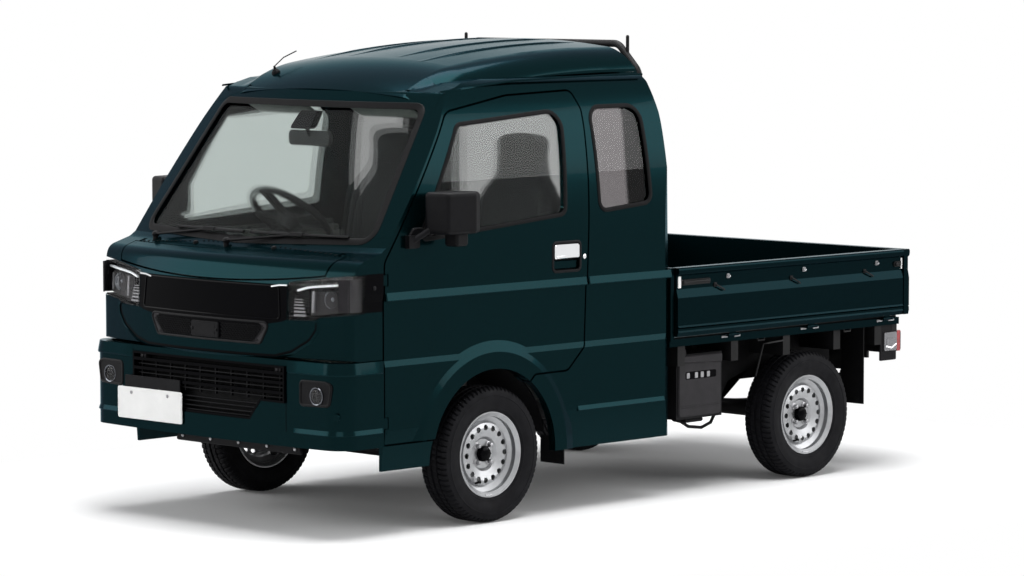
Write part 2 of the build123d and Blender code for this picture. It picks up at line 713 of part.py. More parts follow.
def grille_outline(grow):
    """The gloss panel and mesh between the headlamps as seen from the front."""
    half = [(PANEL_HEAD_X, PANEL_HEAD_Z), (PANEL_HEAD_X, LAMP_FOOT_Z),
            (PANEL_FOOT_X, PANEL_FOOT_Z), (MESH_HEAD_X, MESH_HEAD_Z), (MESH_FOOT_X, MESH_FOOT_Z)]
    corners = half + [(-x, z) for x, z in reversed(half)]
    face = profile(corners)
    return offset(face, grow, kind=Kind.INTERSECTION) if grow else face


def intake_outline(grow):
    """The opening in the bumper as seen from the front."""
    half = [(INTAKE_X, INTAKE_HEAD_Z), (INTAKE_X, INTAKE_MID_Z), (INTAKE_LOW_X, INTAKE_MID_Z),
            (INTAKE_FOOT_X, INTAKE_FOOT_Z)]
    corners = half + [(-x, z) for x, z in reversed(half)]
    face = profile(corners)
    return offset(face, grow, kind=Kind.INTERSECTION) if grow else face


def bumper_plan(inset):
    """The bumper seen from above."""
    bow = ThreePointArc((-SIDE_X, FRONT_Y + BUMPER_BOW), (0, FRONT_Y), (SIDE_X, FRONT_Y + BUMPER_BOW))
    edge = DOOR_FRONT_Y - DOOR_GAP / 2
    rest = Polyline((SIDE_X, FRONT_Y + BUMPER_BOW), (SIDE_X, edge), (-SIDE_X, edge),
                    (-SIDE_X, FRONT_Y + BUMPER_BOW))
    face = make_face(bow.edges() + rest.edges())
    front = face.vertices().sort_by(Axis.Y)[:2]
    face = fillet(front, BUMPER_CORNER)
    if inset:
        face = offset(face, -inset) + Pos(0, inset) * offset(face, -inset)
    return face


def screen_y(x, z):
    """Where the windscreen's surface is at a place seen from the front."""
    share = (z - SCREEN_FOOT_Z) / (SCREEN_HEAD_Z - SCREEN_FOOT_Z)
    middle = SCREEN_FOOT_Y + (SCREEN_HEAD_Y - SCREEN_FOOT_Y) * share
    reach = AXIS_Y - middle
    return AXIS_Y - math.sqrt(reach * reach - x * x)


def split_side(name, shape):
    """Keep a left-hand piece and its mirror image."""
    keep(name + "_left", shape)
    keep(name + "_right", other_side(shape))


# The cab's nested surfaces

OUTER = cab_form(0, True)
SKIN_FORM = cab_form(DOOR_SKIN, False)
GLASS_FORM = cab_form(DOOR_SKIN + GLASS, False)
WALL_FORM = cab_form(PANEL_WALL, False)
DOOR_FORM = cab_form(DOOR_THICKNESS, False)
FLANGE_FORM = cab_form(DOOR_THICKNESS + RUNNING_GAP, False)
FRAME_FORM = cab_form(DOOR_THICKNESS + RUNNING_GAP + FRAME_WALL, False)
SHELL = (OUTER + roof_sweep(0)) - (WALL_FORM + roof_sweep(PANEL_WALL))
SIDE_IN = REAR_CORNER_X
SIDE_OUT = HALF_WIDTH + OVERRUN
WHEEL_ARCH = bar_x(ARCH_RADIUS, HOUSING_OUTER_X, SIDE_OUT, 0, TYRE_RADIUS)
FLARE = ring_x([
    (ARCH_RADIUS, BAND_X - PANEL_WALL), (ARCH_RADIUS, HALF_WIDTH), (ARCH_RADIUS + FLARE_LIP, HALF_WIDTH),
    (ARCH_RADIUS + FLARE_LIP + FLARE_SLOPE, BAND_X - FIT),
    (ARCH_RADIUS + FLARE_LIP + FLARE_SLOPE, BAND_X - PANEL_WALL),
], 0, 0, TYRE_RADIUS)
LID_REAR_RADIUS = AXIS_Y - LID_REAR_Y
NOSE_FRONT = FRONT_Y - OVERRUN


def axis_drum(radius):
    """Everything closer to the nose's upright axis than the radius."""
    return Pos(0, AXIS_Y, HEIGHT / 2) * Cylinder(radius, HEIGHT)


def door_hinges():
    """The left door's hinge lugs and pins, the notches round them and the bores."""
    x = SIDE_X - HINGE_INSET
    y = DOOR_FRONT_Y + HINGE_SETBACK
    gap = RUNNING_GAP / 2
    front = DOOR_FRONT_Y - DOOR_GAP / 2
    lugs, notches, bores = [], [], []
    for z in DOOR_HINGE_ZS:
        top = z + DOOR_HINGE_HEIGHT
        lug = block(BAND_X - DOOR_THICKNESS - RUNNING_GAP - JAMB, x + DOOR_BARREL, front + FIT,
                    y + DOOR_BARREL, z, top)
        pin = Pos(x, y, (z + top) / 2) * Cylinder(DOOR_PIN, DOOR_HINGE_HEIGHT * 2)
        lugs.append(lug + pin)
        notches.append(block(SIDE_IN, SIDE_OUT, front - FIT, y + DOOR_BARREL + RUNNING_GAP, z - gap,
                             top + gap))
        bores.append(Pos(x, y, (z + top) / 2) * Cylinder(DOOR_PIN + SPINDLE_CLEARANCE,
                                                         DOOR_HINGE_HEIGHT * 2 + RUNNING_GAP))
    return lugs[0] + lugs[1], notches[0] + notches[1], bores[0] + bores[1]


def make_doors():
    edge = along_x(door_outline(-DOOR_GAP / 2), SIDE_IN, SIDE_OUT)
    step = along_x(door_outline(-DOOR_GAP / 2 - DOOR_REBATE), SIDE_IN, SIDE_OUT)
    skin = (OUTER & edge) - SKIN_FORM
    core = (SKIN_FORM & step) - DOOR_FORM
    door = skin + core + (FLARE & edge)
    door = door - WHEEL_ARCH - along_x(window_outline(0), SIDE_IN, SIDE_OUT)
    glass = (SKIN_FORM & along_x(window_outline(-FIT), SIDE_IN, SIDE_OUT)) - GLASS_FORM
    notches, bores = door_hinges()[1:]
    pocket = profile([(HANDLE_FRONT_Y, HANDLE_FOOT_Z), (HANDLE_FRONT_Y, HANDLE_HEAD_Z),
                      (HANDLE_REAR_Y, HANDLE_HEAD_Z),
                      (HANDLE_REAR_Y, HANDLE_FOOT_Z)], HANDLE_CORNER)
    door = door - notches - bores - along_x(pocket, SIDE_X - HANDLE_DEPTH, SIDE_OUT)
    split_side("door", door)
    split_side("door_glass", glass)


def make_cab_sides():
    """Pillars, rocker and rear quarter with the flange that the door shuts on."""
    region = along_x(profile([
        (DOOR_FRONT_Y - DOOR_GAP / 2, SILL_FOOT_Z), (DOOR_FRONT_Y - DOOR_GAP / 2, BUMPER_HEAD_Z),
        (SEAM_Y, BUMPER_HEAD_Z), (SEAM_Y, SEAM_Z + FIT), (SEAM_FRONT_Y, SCREEN_CORNER_Z + 2 * FIT),
        (PILLAR_FOOT_Y, SCREEN_CORNER_Z + 2 * FIT), (ROOF_EDGE[0][0], ROOF_EDGE[0][1] - FIT),
    ] + [(y, z - FIT) for y, z in ROOF_EDGE[1:]] + [(CAB_REAR_Y + OVERRUN, SILL_FOOT_Z)]), SIDE_IN, SIDE_OUT)
    hole = along_x(door_outline(DOOR_GAP / 2), SIDE_IN, SIDE_OUT)
    jamb = along_x(door_outline(DOOR_GAP / 2 + JAMB), SIDE_IN, SIDE_OUT) - hole
    lap = along_x(door_outline(DOOR_GAP / 2 + JAMB), SIDE_IN, SIDE_OUT)
    lap = lap - along_x(door_outline(-FRAME_FLANGE), SIDE_IN, SIDE_OUT)
    side = (SHELL & region) - hole
    side = side + ((WALL_FORM & jamb) - FRAME_FORM) + ((FLANGE_FORM & lap) - FRAME_FORM)
    side = side + ((FLARE & region) - hole - block(SIDE_IN, SIDE_OUT, DOOR_FRONT_Y * 2, 0, 0, HEIGHT))
    opening = along_y(screen_outline(0), NOSE_FRONT, ROOF_CREST_X)
    side = side - WHEEL_ARCH - along_x(quarter_outline(0), SIDE_IN, SIDE_OUT) - opening
    side = side & block(SIDE_IN, SIDE_OUT, FRONT_Y, CAB_REAR_Y, SILL_FOOT_Z, HEIGHT)
    side = side - block(0, BED_RECESS_HALF + FLOOR_SHEET + FIT, BED_RECESS_Y - OVERRUN, CAB_REAR_Y + OVERRUN,
                        BED_FLOOR_Z - OVERRUN, BED_RECESS_TOP_Z + FLOOR_SHEET + FIT)
    split_side("cab_side", side + door_hinges()[0])
    quarter = (SKIN_FORM & along_x(quarter_outline(-FIT), SIDE_IN, SIDE_OUT)) - GLASS_FORM
    return both_sides(quarter)


def make_roof():
    region = along_x(profile(ROOF_EDGE + [(CAB_REAR_Y + OVERRUN, HEIGHT), (ROOF_EDGE[0][0], HEIGHT)]),
                     -SIDE_OUT, SIDE_OUT)
    opening = along_y(screen_outline(0), NOSE_FRONT, ROOF_CREST_X)
    inner = SIDE_IN - FIT
    header = block(-inner, inner, HEADER_START_Y, HEADER_END_Y, HEADER_FOOT_Z, HEADER_Z)
    keep("roof", (SHELL & (region + header)) - opening)


def make_rear_wall(quarter):
    """The leaning rear wall, the shelf and the recess that the bed floor runs into."""
    wall = SHELL & block(-SIDE_IN + FIT, SIDE_IN - FIT, CAB_REAR_EAVE_Y - PANEL_WALL * 4,
                         CAB_REAR_Y + OVERRUN, 0, HEIGHT)
    wall = wall & along_x(profile([
        (BED_RECESS_Y, BED_RECESS_TOP_Z), (CAB_REAR_Y + OVERRUN, BED_RECESS_TOP_Z),
        (ROOF_EDGE[-1][0], ROOF_EDGE[-1][1] - FIT), (BED_RECESS_Y, ROOF_EDGE[-2][1] - FIT),
    ]), -SIDE_IN, SIDE_IN)
    wall = wall - WALL_FORM
    wall = wall - along_y(rear_window_outline(0), BED_RECESS_Y, CAB_REAR_Y + OVERRUN)
    wide = BED_RECESS_HALF + FLOOR_SHEET
    shelf_z = BED_RECESS_TOP_Z + FLOOR_SHEET
    low = BED_FLOOR_Z - BED_FLOOR_SHEET - RUNNING_GAP
    front = BED_RECESS_Y - RUNNING_GAP
    shelf = block(-SIDE_IN, SIDE_IN, front, CAB_REAR_Y - PANEL_WALL / 2, BED_RECESS_TOP_Z, shelf_z)
    face = block(-wide, wide, front - FLOOR_SHEET, front, low, shelf_z)
    cheek = block(BED_RECESS_HALF, wide, front - FLOOR_SHEET, CAB_REAR_Y - PANEL_WALL, low, shelf_z)
    lid = block(SIDE_IN - FLOOR_SHEET, wide, front - FLOOR_SHEET, CAB_REAR_Y - PANEL_WALL, BED_RECESS_TOP_Z,
                shelf_z)
    keep("cab_rear_wall", wall + shelf + face + both_sides(cheek) + both_sides(lid))
    pane = (SKIN_FORM & along_y(rear_window_outline(-FIT), BED_RECESS_Y, CAB_REAR_Y + OVERRUN)) - GLASS_FORM
    keep("cab_windows", quarter + pane)


def make_nose():
    """Front panel, service lid, cowl, windscreen, headlamps, grille and bumper."""
    opening = along_y(screen_outline(0), NOSE_FRONT, ROOF_CREST_X)
    pane = (SKIN_FORM & along_y(screen_outline(-FIT), NOSE_FRONT, ROOF_CREST_X)) - GLASS_FORM
    keep("windscreen", pane)
    region = along_x(profile([
        (NOSE_FRONT, NOSE_FOOT_Z), (SEAM_Y, NOSE_FOOT_Z), (SEAM_Y, SEAM_Z),
        (SEAM_FRONT_Y, SCREEN_CORNER_Z + FIT), (NOSE_FRONT, SCREEN_CORNER_Z + FIT),
    ]), -SIDE_OUT, SIDE_OUT)
    hole = along_x(door_outline(DOOR_GAP / 2), SIDE_IN, SIDE_OUT)
    front = (SHELL & region) - both_sides(hole) - opening
    lid_area = along_y(lid_outline(0), NOSE_FRONT, SEAM_Y)
    lid = (SHELL & along_y(lid_outline(-LID_GAP), NOSE_FRONT,
                           SEAM_Y)) - axis_drum(LID_REAR_RADIUS + LID_GAP) - opening
    arm = block(LID_HINGE_X, LID_HINGE_X + LID_HINGE_WIDTH, LID_HINGE_Y - LID_ARM_LENGTH, LID_HINGE_Y,
                LID_HINGE_Z - LID_BARREL * 2, LID_HINGE_Z - LID_BARREL / 2)
    arm = arm + bar_x(LID_BARREL, LID_HINGE_X, LID_HINGE_X + LID_HINGE_WIDTH, LID_HINGE_Y, LID_HINGE_Z)
    bore = bar_x(LID_PIN + SPINDLE_CLEARANCE, 0, HALF_WIDTH, LID_HINGE_Y, LID_HINGE_Z)
    gap = RUNNING_GAP / 2
    notch = block(LID_HINGE_X - gap, LID_HINGE_X + LID_HINGE_WIDTH + gap, LID_HINGE_Y - LID_ARM_LENGTH,
                  LID_HINGE_Y + LID_BARREL + RUNNING_GAP, CREASE_Z - PANEL_WALL * 2, HEIGHT)
    pin = bar_x(LID_PIN, LID_HINGE_X - OVERRUN, LID_HINGE_X + LID_HINGE_WIDTH + OVERRUN, LID_HINGE_Y,
                LID_HINGE_Z)
    keep("front_lid", lid + both_sides(arm - bore))
    front = front - (lid_area - axis_drum(LID_REAR_RADIUS))
    cowl_area = along_y(profile([
        (-LID_HEAD_X, CREASE_Z - FIT), (LID_HEAD_X, CREASE_Z - FIT),
        (LID_HEAD_X, SCREEN_CORNER_Z), (-LID_HEAD_X, SCREEN_CORNER_Z),
    ]), NOSE_FRONT, SEAM_Y) & axis_drum(LID_REAR_RADIUS)
    cowl = (SHELL & cowl_area) - opening
    cowl = cowl - both_sides(notch) + both_sides(pin)
    front = front - cowl_area
    wipers = None
    for pivot_x, pivot_y, tip_x, tip_z, blade in WIPERS:
        pivot = (pivot_x, pivot_y, COWL_Z - PANEL_WALL / 2)
        head = (pivot_x, pivot_y, SCREEN_FOOT_Z)
        tip = (tip_x, screen_y(tip_x, tip_z) - WIPER_LIFT, tip_z)
        ends = [(tip_x + side * blade / 2, screen_y(tip_x + side * blade / 2, tip_z) - WIPER_LIFT,
                 tip_z) for side in (-1, 1)]
        arm = rod(pivot, head, WIPER_BOSS) + rod(head, tip, WIPER_ARM) + rod(ends[0], tip,
                WIPER_ARM) + rod(tip, ends[1], WIPER_ARM)
        wipers = arm if wipers is None else wipers + arm
    keep("cowl", cowl)
    keep("wipers", wipers - cowl - pane)
    lamp = along_y(lamp_outline(0), NOSE_FRONT, LAMP_REAR_Y)
    front = front - both_sides(lamp)
    lamp_room = along_y(lamp_outline(-FIT), NOSE_FRONT, LAMP_REAR_Y - FIT)
    lens = (OUTER & lamp_room) - SKIN_FORM
    bowl = along_y(lamp_outline(-FIT - LAMP_BOWL_WALL), NOSE_FRONT, LAMP_REAR_Y - FIT - LAMP_BOWL_WALL)
    housing = (GLASS_FORM & lamp_room) - FRAME_FORM - (bowl - FLANGE_FORM)
    keep("lamp_housings", both_sides(housing))
    trim_hole = along_x(profile([
        (LAMP_REAR_Y, LAMP_OUTER_Z), (SEAM_Y, LAMP_OUTER_Z), (SEAM_Y, LAMP_HEAD_Z), (LAMP_REAR_Y,
                LAMP_HEAD_Z),
    ]), SIDE_IN, SIDE_OUT)
    trim = (SHELL & along_x(profile([
        (LAMP_REAR_Y, LAMP_OUTER_Z + FIT), (DOOR_FRONT_Y - DOOR_GAP / 2, LAMP_OUTER_Z + FIT),
        (DOOR_FRONT_Y - DOOR_GAP / 2, LAMP_HEAD_Z - FIT), (LAMP_REAR_Y, LAMP_HEAD_Z - FIT),
    ]), SIDE_IN, SIDE_OUT))
    front = front - both_sides(trim_hole) - along_y(grille_outline(0), NOSE_FRONT, PANEL_REAR_Y)
    keep("front_panel", front)
    panel = SHELL & along_y(grille_outline(-FIT), NOSE_FRONT, PANEL_REAR_Y)
    mouth = along_y(intake_outline(0), NOSE_FRONT, CHIN_Y + BUMPER_WALL)
    bumper = along_z(bumper_plan(0), BUMPER_FOOT_Z, BUMPER_HEAD_Z)
    bumper = bumper - along_z(bumper_plan(BUMPER_WALL), 0, BUMPER_HEAD_Z - BUMPER_WALL)
    bumper = bumper - along_z(bumper_plan(BUMPER_LEDGE), 0, HEIGHT)
    fog = bar_y(FOG_RADIUS, NOSE_FRONT, CHIN_Y + BUMPER_WALL, FOG_X, FOG_Z)
    inner = BAND_X - PANEL_WALL + FIT
    bumper = bumper - mouth - both_sides(fog) - block(-inner, inner,
                                                      DOOR_FRONT_Y - DOOR_GAP / 2 - JAMB - FIT, SEAM_Y, 0, HEIGHT)
    keep("front_bumper", bumper)
    depth = FRONT_Y + GRILLE_DEPTH
    grid = along_y(intake_outline(-FIT), GRILLE_FRONT_Y, depth)
    grid = grid - along_y(intake_outline(-GRILLE_RIM), NOSE_FRONT, CHIN_Y)
    bars = None
    for z in INTAKE_BARS:
        bar = block(-INTAKE_X, INTAKE_X, GRILLE_FRONT_Y, depth, z - GRILLE_BAR / 2, z + GRILLE_BAR / 2)
        bars = bar if bars is None else bars + bar
    grid = grid + (bars & along_y(intake_outline(-FIT), NOSE_FRONT, CHIN_Y))
    keep("front_grille", panel + grid + both_sides(trim))
    fog_lamp = bar_y(FOG_RADIUS - FIT, FOG_Y, FOG_Y + GRILLE_DEPTH, FOG_X, FOG_Z)
    keep("front_lamps", both_sides(lens) + both_sides(fog_lamp))


def make_interior():
    """Floor, dashboard, steering column and wheel, and the two seats."""
    inside = FRAME_FORM
    low_rear = BED_RECESS_Y - RUNNING_GAP - FLOOR_SHEET - FIT
    well = block(-HALF_WIDTH, HALF_WIDTH, BULKHEAD_Y, DECK_FRONT_Y, FLOOR_Z - FLOOR_SHEET, FLOOR_Z)
    wall = block(-HALF_WIDTH, HALF_WIDTH, BULKHEAD_Y, BULKHEAD_Y + FLOOR_SHEET, FLOOR_Z - FLOOR_SHEET,
                 CREASE_Z - PANEL_WALL)
    riser = block(-HALF_WIDTH, HALF_WIDTH, DECK_FRONT_Y - FLOOR_SHEET, DECK_FRONT_Y, FLOOR_Z - FLOOR_SHEET,
                  DECK_Z)
    deck = block(-HALF_WIDTH, HALF_WIDTH, DECK_FRONT_Y - FLOOR_SHEET, low_rear, DECK_Z - FLOOR_SHEET, DECK_Z)
    back = block(-HALF_WIDTH, HALF_WIDTH, low_rear - FLOOR_SHEET, low_rear, FLOOR_Z - FLOOR_SHEET, DECK_Z)
    trimmer = block(-HOUSING_OUTER_X, HOUSING_OUTER_X, BULKHEAD_Y - OVERRUN, CAB_REAR_Y, 0, HEIGHT)
    pan = (well + wall + riser + deck + back) & trimmer & inside
    liner_radius = HOUSING_RADIUS + FLOOR_SHEET / 2
    liner_in = HOUSING_INNER_X - FLOOR_SHEET
    liner = bar_x(liner_radius, liner_in, HOUSING_OUTER_X, 0, TYRE_RADIUS)
    room = bar_x(HOUSING_RADIUS, HOUSING_INNER_X, SIDE_OUT, 0, TYRE_RADIUS)
    liner = liner - block(0, SIDE_OUT, DECK_FRONT_Y * 2, -DECK_FRONT_Y * 2, -HEIGHT, HOUSING_FOOT_Z) - room
    liner = liner + block(liner_in, HOUSING_INNER_X, DECK_FRONT_Y + FIT, -DECK_FRONT_Y, HOUSING_FOOT_Z,
                          DECK_Z - FLOOR_SHEET - FIT)
    space = bar_x(liner_radius + FIT, liner_in - FIT, SIDE_OUT, 0, TYRE_RADIUS)
    pan = pan - both_sides(space)
    keep("wheel_housings", both_sides(liner & inside))
    mounts = None
    for y in (FRONT_MOUNT_Y, low_rear - MOUNT_LENGTH):
        mount = block(RAIL_X - RAIL_WIDTH / 2, RAIL_X + RAIL_WIDTH / 2, y - MOUNT_LENGTH / 2,
                      y + MOUNT_LENGTH / 2,
                      RAIL_BOTTOM_Z + RAIL_HEIGHT + FIT, FLOOR_Z - FLOOR_SHEET)
        mounts = mount if mounts is None else mounts + mount
    brace = block(RAIL_X - RAIL_WIDTH / 2, RAIL_X + RAIL_WIDTH / 2, low_rear - MOUNT_LENGTH * 3 / 2, low_rear,
                  FLOOR_Z - FLOOR_SHEET, FLOOR_Z)
    keep("cab_floor", pan + both_sides(mounts + brace))
    dash = along_x(profile([
        (BULKHEAD_Y + FLOOR_SHEET + FIT, DASH_HEAD_Z), (DASH_BROW_Y, DASH_HEAD_Z), (DASH_REAR_Y, DASH_FACE_Z),
        (DASH_KNEE_Y, DASH_FOOT_Z), (BULKHEAD_Y + FLOOR_SHEET + FIT, DASH_FOOT_Z),
    ]), -HOUSING_OUTER_X, HOUSING_OUTER_X) & inside
    tilt = math.radians(STEERING_TILT)
    aim = (0, math.cos(tilt), math.sin(tilt))

    def on_column(distance):
        return (STEERING_X, STEERING_Y + aim[1] * distance, STEERING_Z + aim[2] * distance)

    column = rod(on_column(-COLUMN_LENGTH), on_column(-COLUMN_GAP), COLUMN_RADIUS)
    column = column - rod(on_column(-COLUMN_GAP * 2), on_column(0), SPINDLE_RADIUS / 2 + FIT)
    bracket = block(STEERING_X - COLUMN_RADIUS, STEERING_X + COLUMN_RADIUS, BRACKET_FRONT_Y, DASH_BROW_Y,
                    BRACKET_FOOT_Z, DASH_FOOT_Z + FLOOR_SHEET)
    keep("dashboard", dash + column + (bracket - rod(on_column(-COLUMN_GAP * 2), on_column(0),
                                                     COLUMN_RADIUS)))
    rim_plane = Plane(origin=on_column(0), x_dir=(1, 0, 0), z_dir=aim)
    rim = rim_plane * Torus(STEERING_RADIUS, STEERING_GRIP)
    hub = rod(on_column(-COLUMN_GAP + RUNNING_GAP), on_column(-STEERING_GRIP / 2), STEERING_HUB_RADIUS)
    pin = rod(on_column(-COLUMN_GAP * 2 + FIT), on_column(-STEERING_GRIP), SPINDLE_RADIUS / 2)
    spokes = None
    for angle in SPOKE_TURNS:
        arm = rim_plane * Rot(0, 0, angle) * Pos(STEERING_RADIUS / 2, 0,
                                                 -STEERING_GRIP) * Box(STEERING_RADIUS, SPOKE, STEERING_GRIP)
        spokes = arm if spokes is None else spokes + arm
    keep("steering_wheel", rim + hub + pin + spokes)
    seat_x = (SEAT_X - SEAT_WIDTH / 2, SEAT_X + SEAT_WIDTH / 2)
    cushion_z = DECK_Z + SOFT_GAP
    cushion = block(*seat_x, CUSHION_FRONT_Y, CUSHION_REAR_Y, cushion_z, cushion_z + CUSHION_HEIGHT)
    foot = CUSHION_REAR_Y + SOFT_GAP
    top = BACK_TOP_Z + HEADREST_HEIGHT
    lean = foot + BACK_LEAN
    back_rest = along_x(profile([
        (foot, cushion_z), (foot, cushion_z + CUSHION_HEIGHT), (lean, BACK_TOP_Z), (lean, top),
        (lean + HEADREST_THICKNESS, top), (lean + HEADREST_THICKNESS, BACK_TOP_Z),
        (foot + BACK_THICKNESS, BACK_HEEL_Z), (foot + BACK_THICKNESS, cushion_z),
    ]), *seat_x)
    half = [(SEAT_WIDTH / 2, cushion_z), (SEAT_WIDTH / 2, BACK_SHOULDER_Z), (HEADREST_WIDTH / 2, BACK_TOP_Z),
            (HEADREST_WIDTH / 2, top)]
    front_view = profile([(SEAT_X + x, z) for x, z in half] + [(SEAT_X - x, z) for x, z in reversed(half)],
                         BACK_CORNER_RADII)
    split_side("seat_cushion", cushion)
    split_side("seat_back", back_rest & along_y(front_view, CUSHION_FRONT_Y, CAB_REAR_Y))


def wheel_section(front):
    """The steel wheel with its hub and brake, in (radius, offset outwards)."""
    lip = RIM_WIDTH / 2
    wall = RIM_WALL
    shoulder = BEAD_RADIUS
    well = RIM_WELL_RADIUS
    seat = lip - wall
    hub = HUB_RADIUS - wall
    outside = [
        (0, DISC_FACE + HUB_CAP_HEIGHT), (HUB_CAP_RADIUS, DISC_FACE + HUB_CAP_HEIGHT), (HUB_CAP_RADIUS,
                DISC_FACE),
        (HUB_RADIUS, DISC_FACE), (HUB_RADIUS + wall * 2, DISC_CROWN - wall), (DISC_HOLE_CIRCLE,
                DISC_CROWN + wall),
        (well - wall * 2, DISC_CROWN), (well - wall, WELL_OUT_W + wall), (shoulder - wall,
                SHOULDER_OUT_W + wall),
        (shoulder - wall, seat - wall), (RIM_LIP_RADIUS - wall, lip), (RIM_LIP_RADIUS, lip), (RIM_LIP_RADIUS,
                seat),
        (shoulder, seat - wall / 2),
    ]
    barrel = [
        (shoulder, SHOULDER_OUT_W), (well, WELL_OUT_W), (well, -WELL_IN_W), (shoulder, -SHOULDER_IN_W),
        (shoulder, -seat + wall / 2), (RIM_LIP_RADIUS, -seat), (RIM_LIP_RADIUS,
                -lip), (RIM_LIP_RADIUS - wall, -lip),
        (shoulder - wall, -seat + wall), (shoulder - wall, -SHOULDER_IN_W - wall / 2), (well - wall,
                -WELL_IN_W - wall / 2),
    ]
    back = [
        (well - wall, WELL_OUT_W - wall), (well - wall * 3, DISC_CROWN - wall), (DISC_HOLE_CIRCLE,
                DISC_CROWN),
        (HUB_RADIUS + wall * 3, DISC_FACE), (HUB_RADIUS, DISC_FACE - wall), (hub, DISC_FACE - wall),
    ]
    if front:
        brake = [
            (hub, BRAKE_DISC_THICKNESS - HUB_DEPTH), (ROTOR_RADIUS,
                                                      BRAKE_DISC_THICKNESS - HUB_DEPTH), (ROTOR_RADIUS,
                                                              -HUB_DEPTH),
        ]
        end = -HUB_DEPTH
    else:
        brake = [
            (hub, -DRUM_FACE_W), (BRAKE_RADIUS, -DRUM_FACE_W), (BRAKE_RADIUS,
                    -DRUM_DEPTH), (BRAKE_RADIUS - wall, -DRUM_DEPTH),
            (BRAKE_RADIUS - wall, -DRUM_FACE_W - wall), (HUB_CAP_RADIUS,
                                                         -DRUM_FACE_W - wall), (HUB_CAP_RADIUS, -HUB_DEPTH),
        ]
        end = -HUB_DEPTH
    bore = SPINDLE_RADIUS + SPINDLE_CLEARANCE
    core = [(bore, end), (bore, SPINDLE_END_W + SPINDLE_CLEARANCE), (0, SPINDLE_END_W + SPINDLE_CLEARANCE)]
    return outside + barrel + back + brake + core


def tyre_section():
    """The tyre in (radius, offset outwards); its bead sits just clear of the rim."""
    lip = RIM_WIDTH / 2
    half = TYRE_WIDTH / 2
    bead = lip - RIM_WALL * 2
    side = [
        (BEAD_RADIUS + FIT, bead), (RIM_LIP_RADIUS + FIT * 2, bead), (RIM_LIP_RADIUS + FIT * 5, lip),
        (TYRE_BULGE_RADIUS, half), (TYRE_SHOULDER_RADIUS, half - TYRE_EDGE / 4), (TYRE_EDGE_RADIUS,
                half - TYRE_EDGE),
        (TYRE_RADIUS, half - TYRE_EDGE * 2),
    ]
    return side + [(r, -w) for r, w in reversed(side)]


def make_wheels():
    for place, y, track, front in (("front", 0, FRONT_TRACK, True), ("rear", WHEELBASE, REAR_TRACK, False)):
        x = track / 2
        wheel = ring_x(wheel_section(front), x, y, TYRE_RADIUS)
        for step in range(DISC_HOLES):
            angle = 2 * math.pi * step / DISC_HOLES
            hole_y = y + DISC_HOLE_CIRCLE * math.cos(angle)
            hole_z = TYRE_RADIUS + DISC_HOLE_CIRCLE * math.sin(angle)
            wheel = wheel - bar_x(DISC_HOLE_RADIUS, x + DISC_FACE, x + RIM_WIDTH / 2, hole_y, hole_z)
        split_side("wheel_" + place, wheel)
        split_side("tyre_" + place, ring_x(tyre_section(), x, y, TYRE_RADIUS))


def make_front_axle():
    """Knuckles with spindles, struts, brake calipers and steering arms."""
    x = FRONT_TRACK / 2
    king = x - KINGPIN_INSET
    disc_in = x - HUB_DEPTH
    disc_out = disc_in + BRAKE_DISC_THICKNESS
    half = STRUT_RADIUS / 2
    spindle = bar_x(SPINDLE_RADIUS, king, x + SPINDLE_END_W, 0, TYRE_RADIUS)
    boss = bar_x(HUB_RADIUS, king - half, disc_in - RUNNING_GAP, 0, TYRE_RADIUS)
    upright = block(king - half, king + half, -STRUT_RADIUS, STRUT_RADIUS, KNUCKLE_FOOT_Z,
                    TYRE_RADIUS + BRAKE_RADIUS)
    strut = Pos(king, 0, (TYRE_RADIUS + STRUT_TOP_Z) / 2) * Cylinder(STRUT_RADIUS, STRUT_TOP_Z - TYRE_RADIUS)
    stud = Pos(king, 0, (BALL_JOINT_Z + KNUCKLE_FOOT_Z) / 2) * Cylinder(STUD_RADIUS,
            KNUCKLE_FOOT_Z - BALL_JOINT_Z)
    arm = block(king - half, king + half, 0, STEER_ARM, STEER_ARM_Z - half, STEER_ARM_Z + half)
    reach = ROTOR_RADIUS + RUNNING_GAP / 2
    caliper = block(disc_in - CALIPER, disc_out + CALIPER, -reach - CALIPER / 2, -HUB_RADIUS - RUNNING_GAP,
                    TYRE_RADIUS - CALIPER * 2, TYRE_RADIUS + CALIPER * 2)
    caliper = caliper - block(disc_in - RUNNING_GAP / 2, disc_out + RUNNING_GAP / 2, -reach, 0, 0, HEIGHT)
    caliper = caliper + block(disc_in - CALIPER, disc_in - RUNNING_GAP, -ROTOR_RADIUS, 0,
                              TYRE_RADIUS - CALIPER, TYRE_RADIUS + CALIPER)
    split_side("knuckle", spindle + boss + upright + strut + stud + arm + caliper)
    rack_z = STEER_ARM_Z - half - RUNNING_GAP / 2 - RACK_RADIUS
    keep("steering_rack", bar_x(RACK_RADIUS, -king - RACK_RADIUS, king + RACK_RADIUS, STEER_ARM, rack_z))
    return rack_z


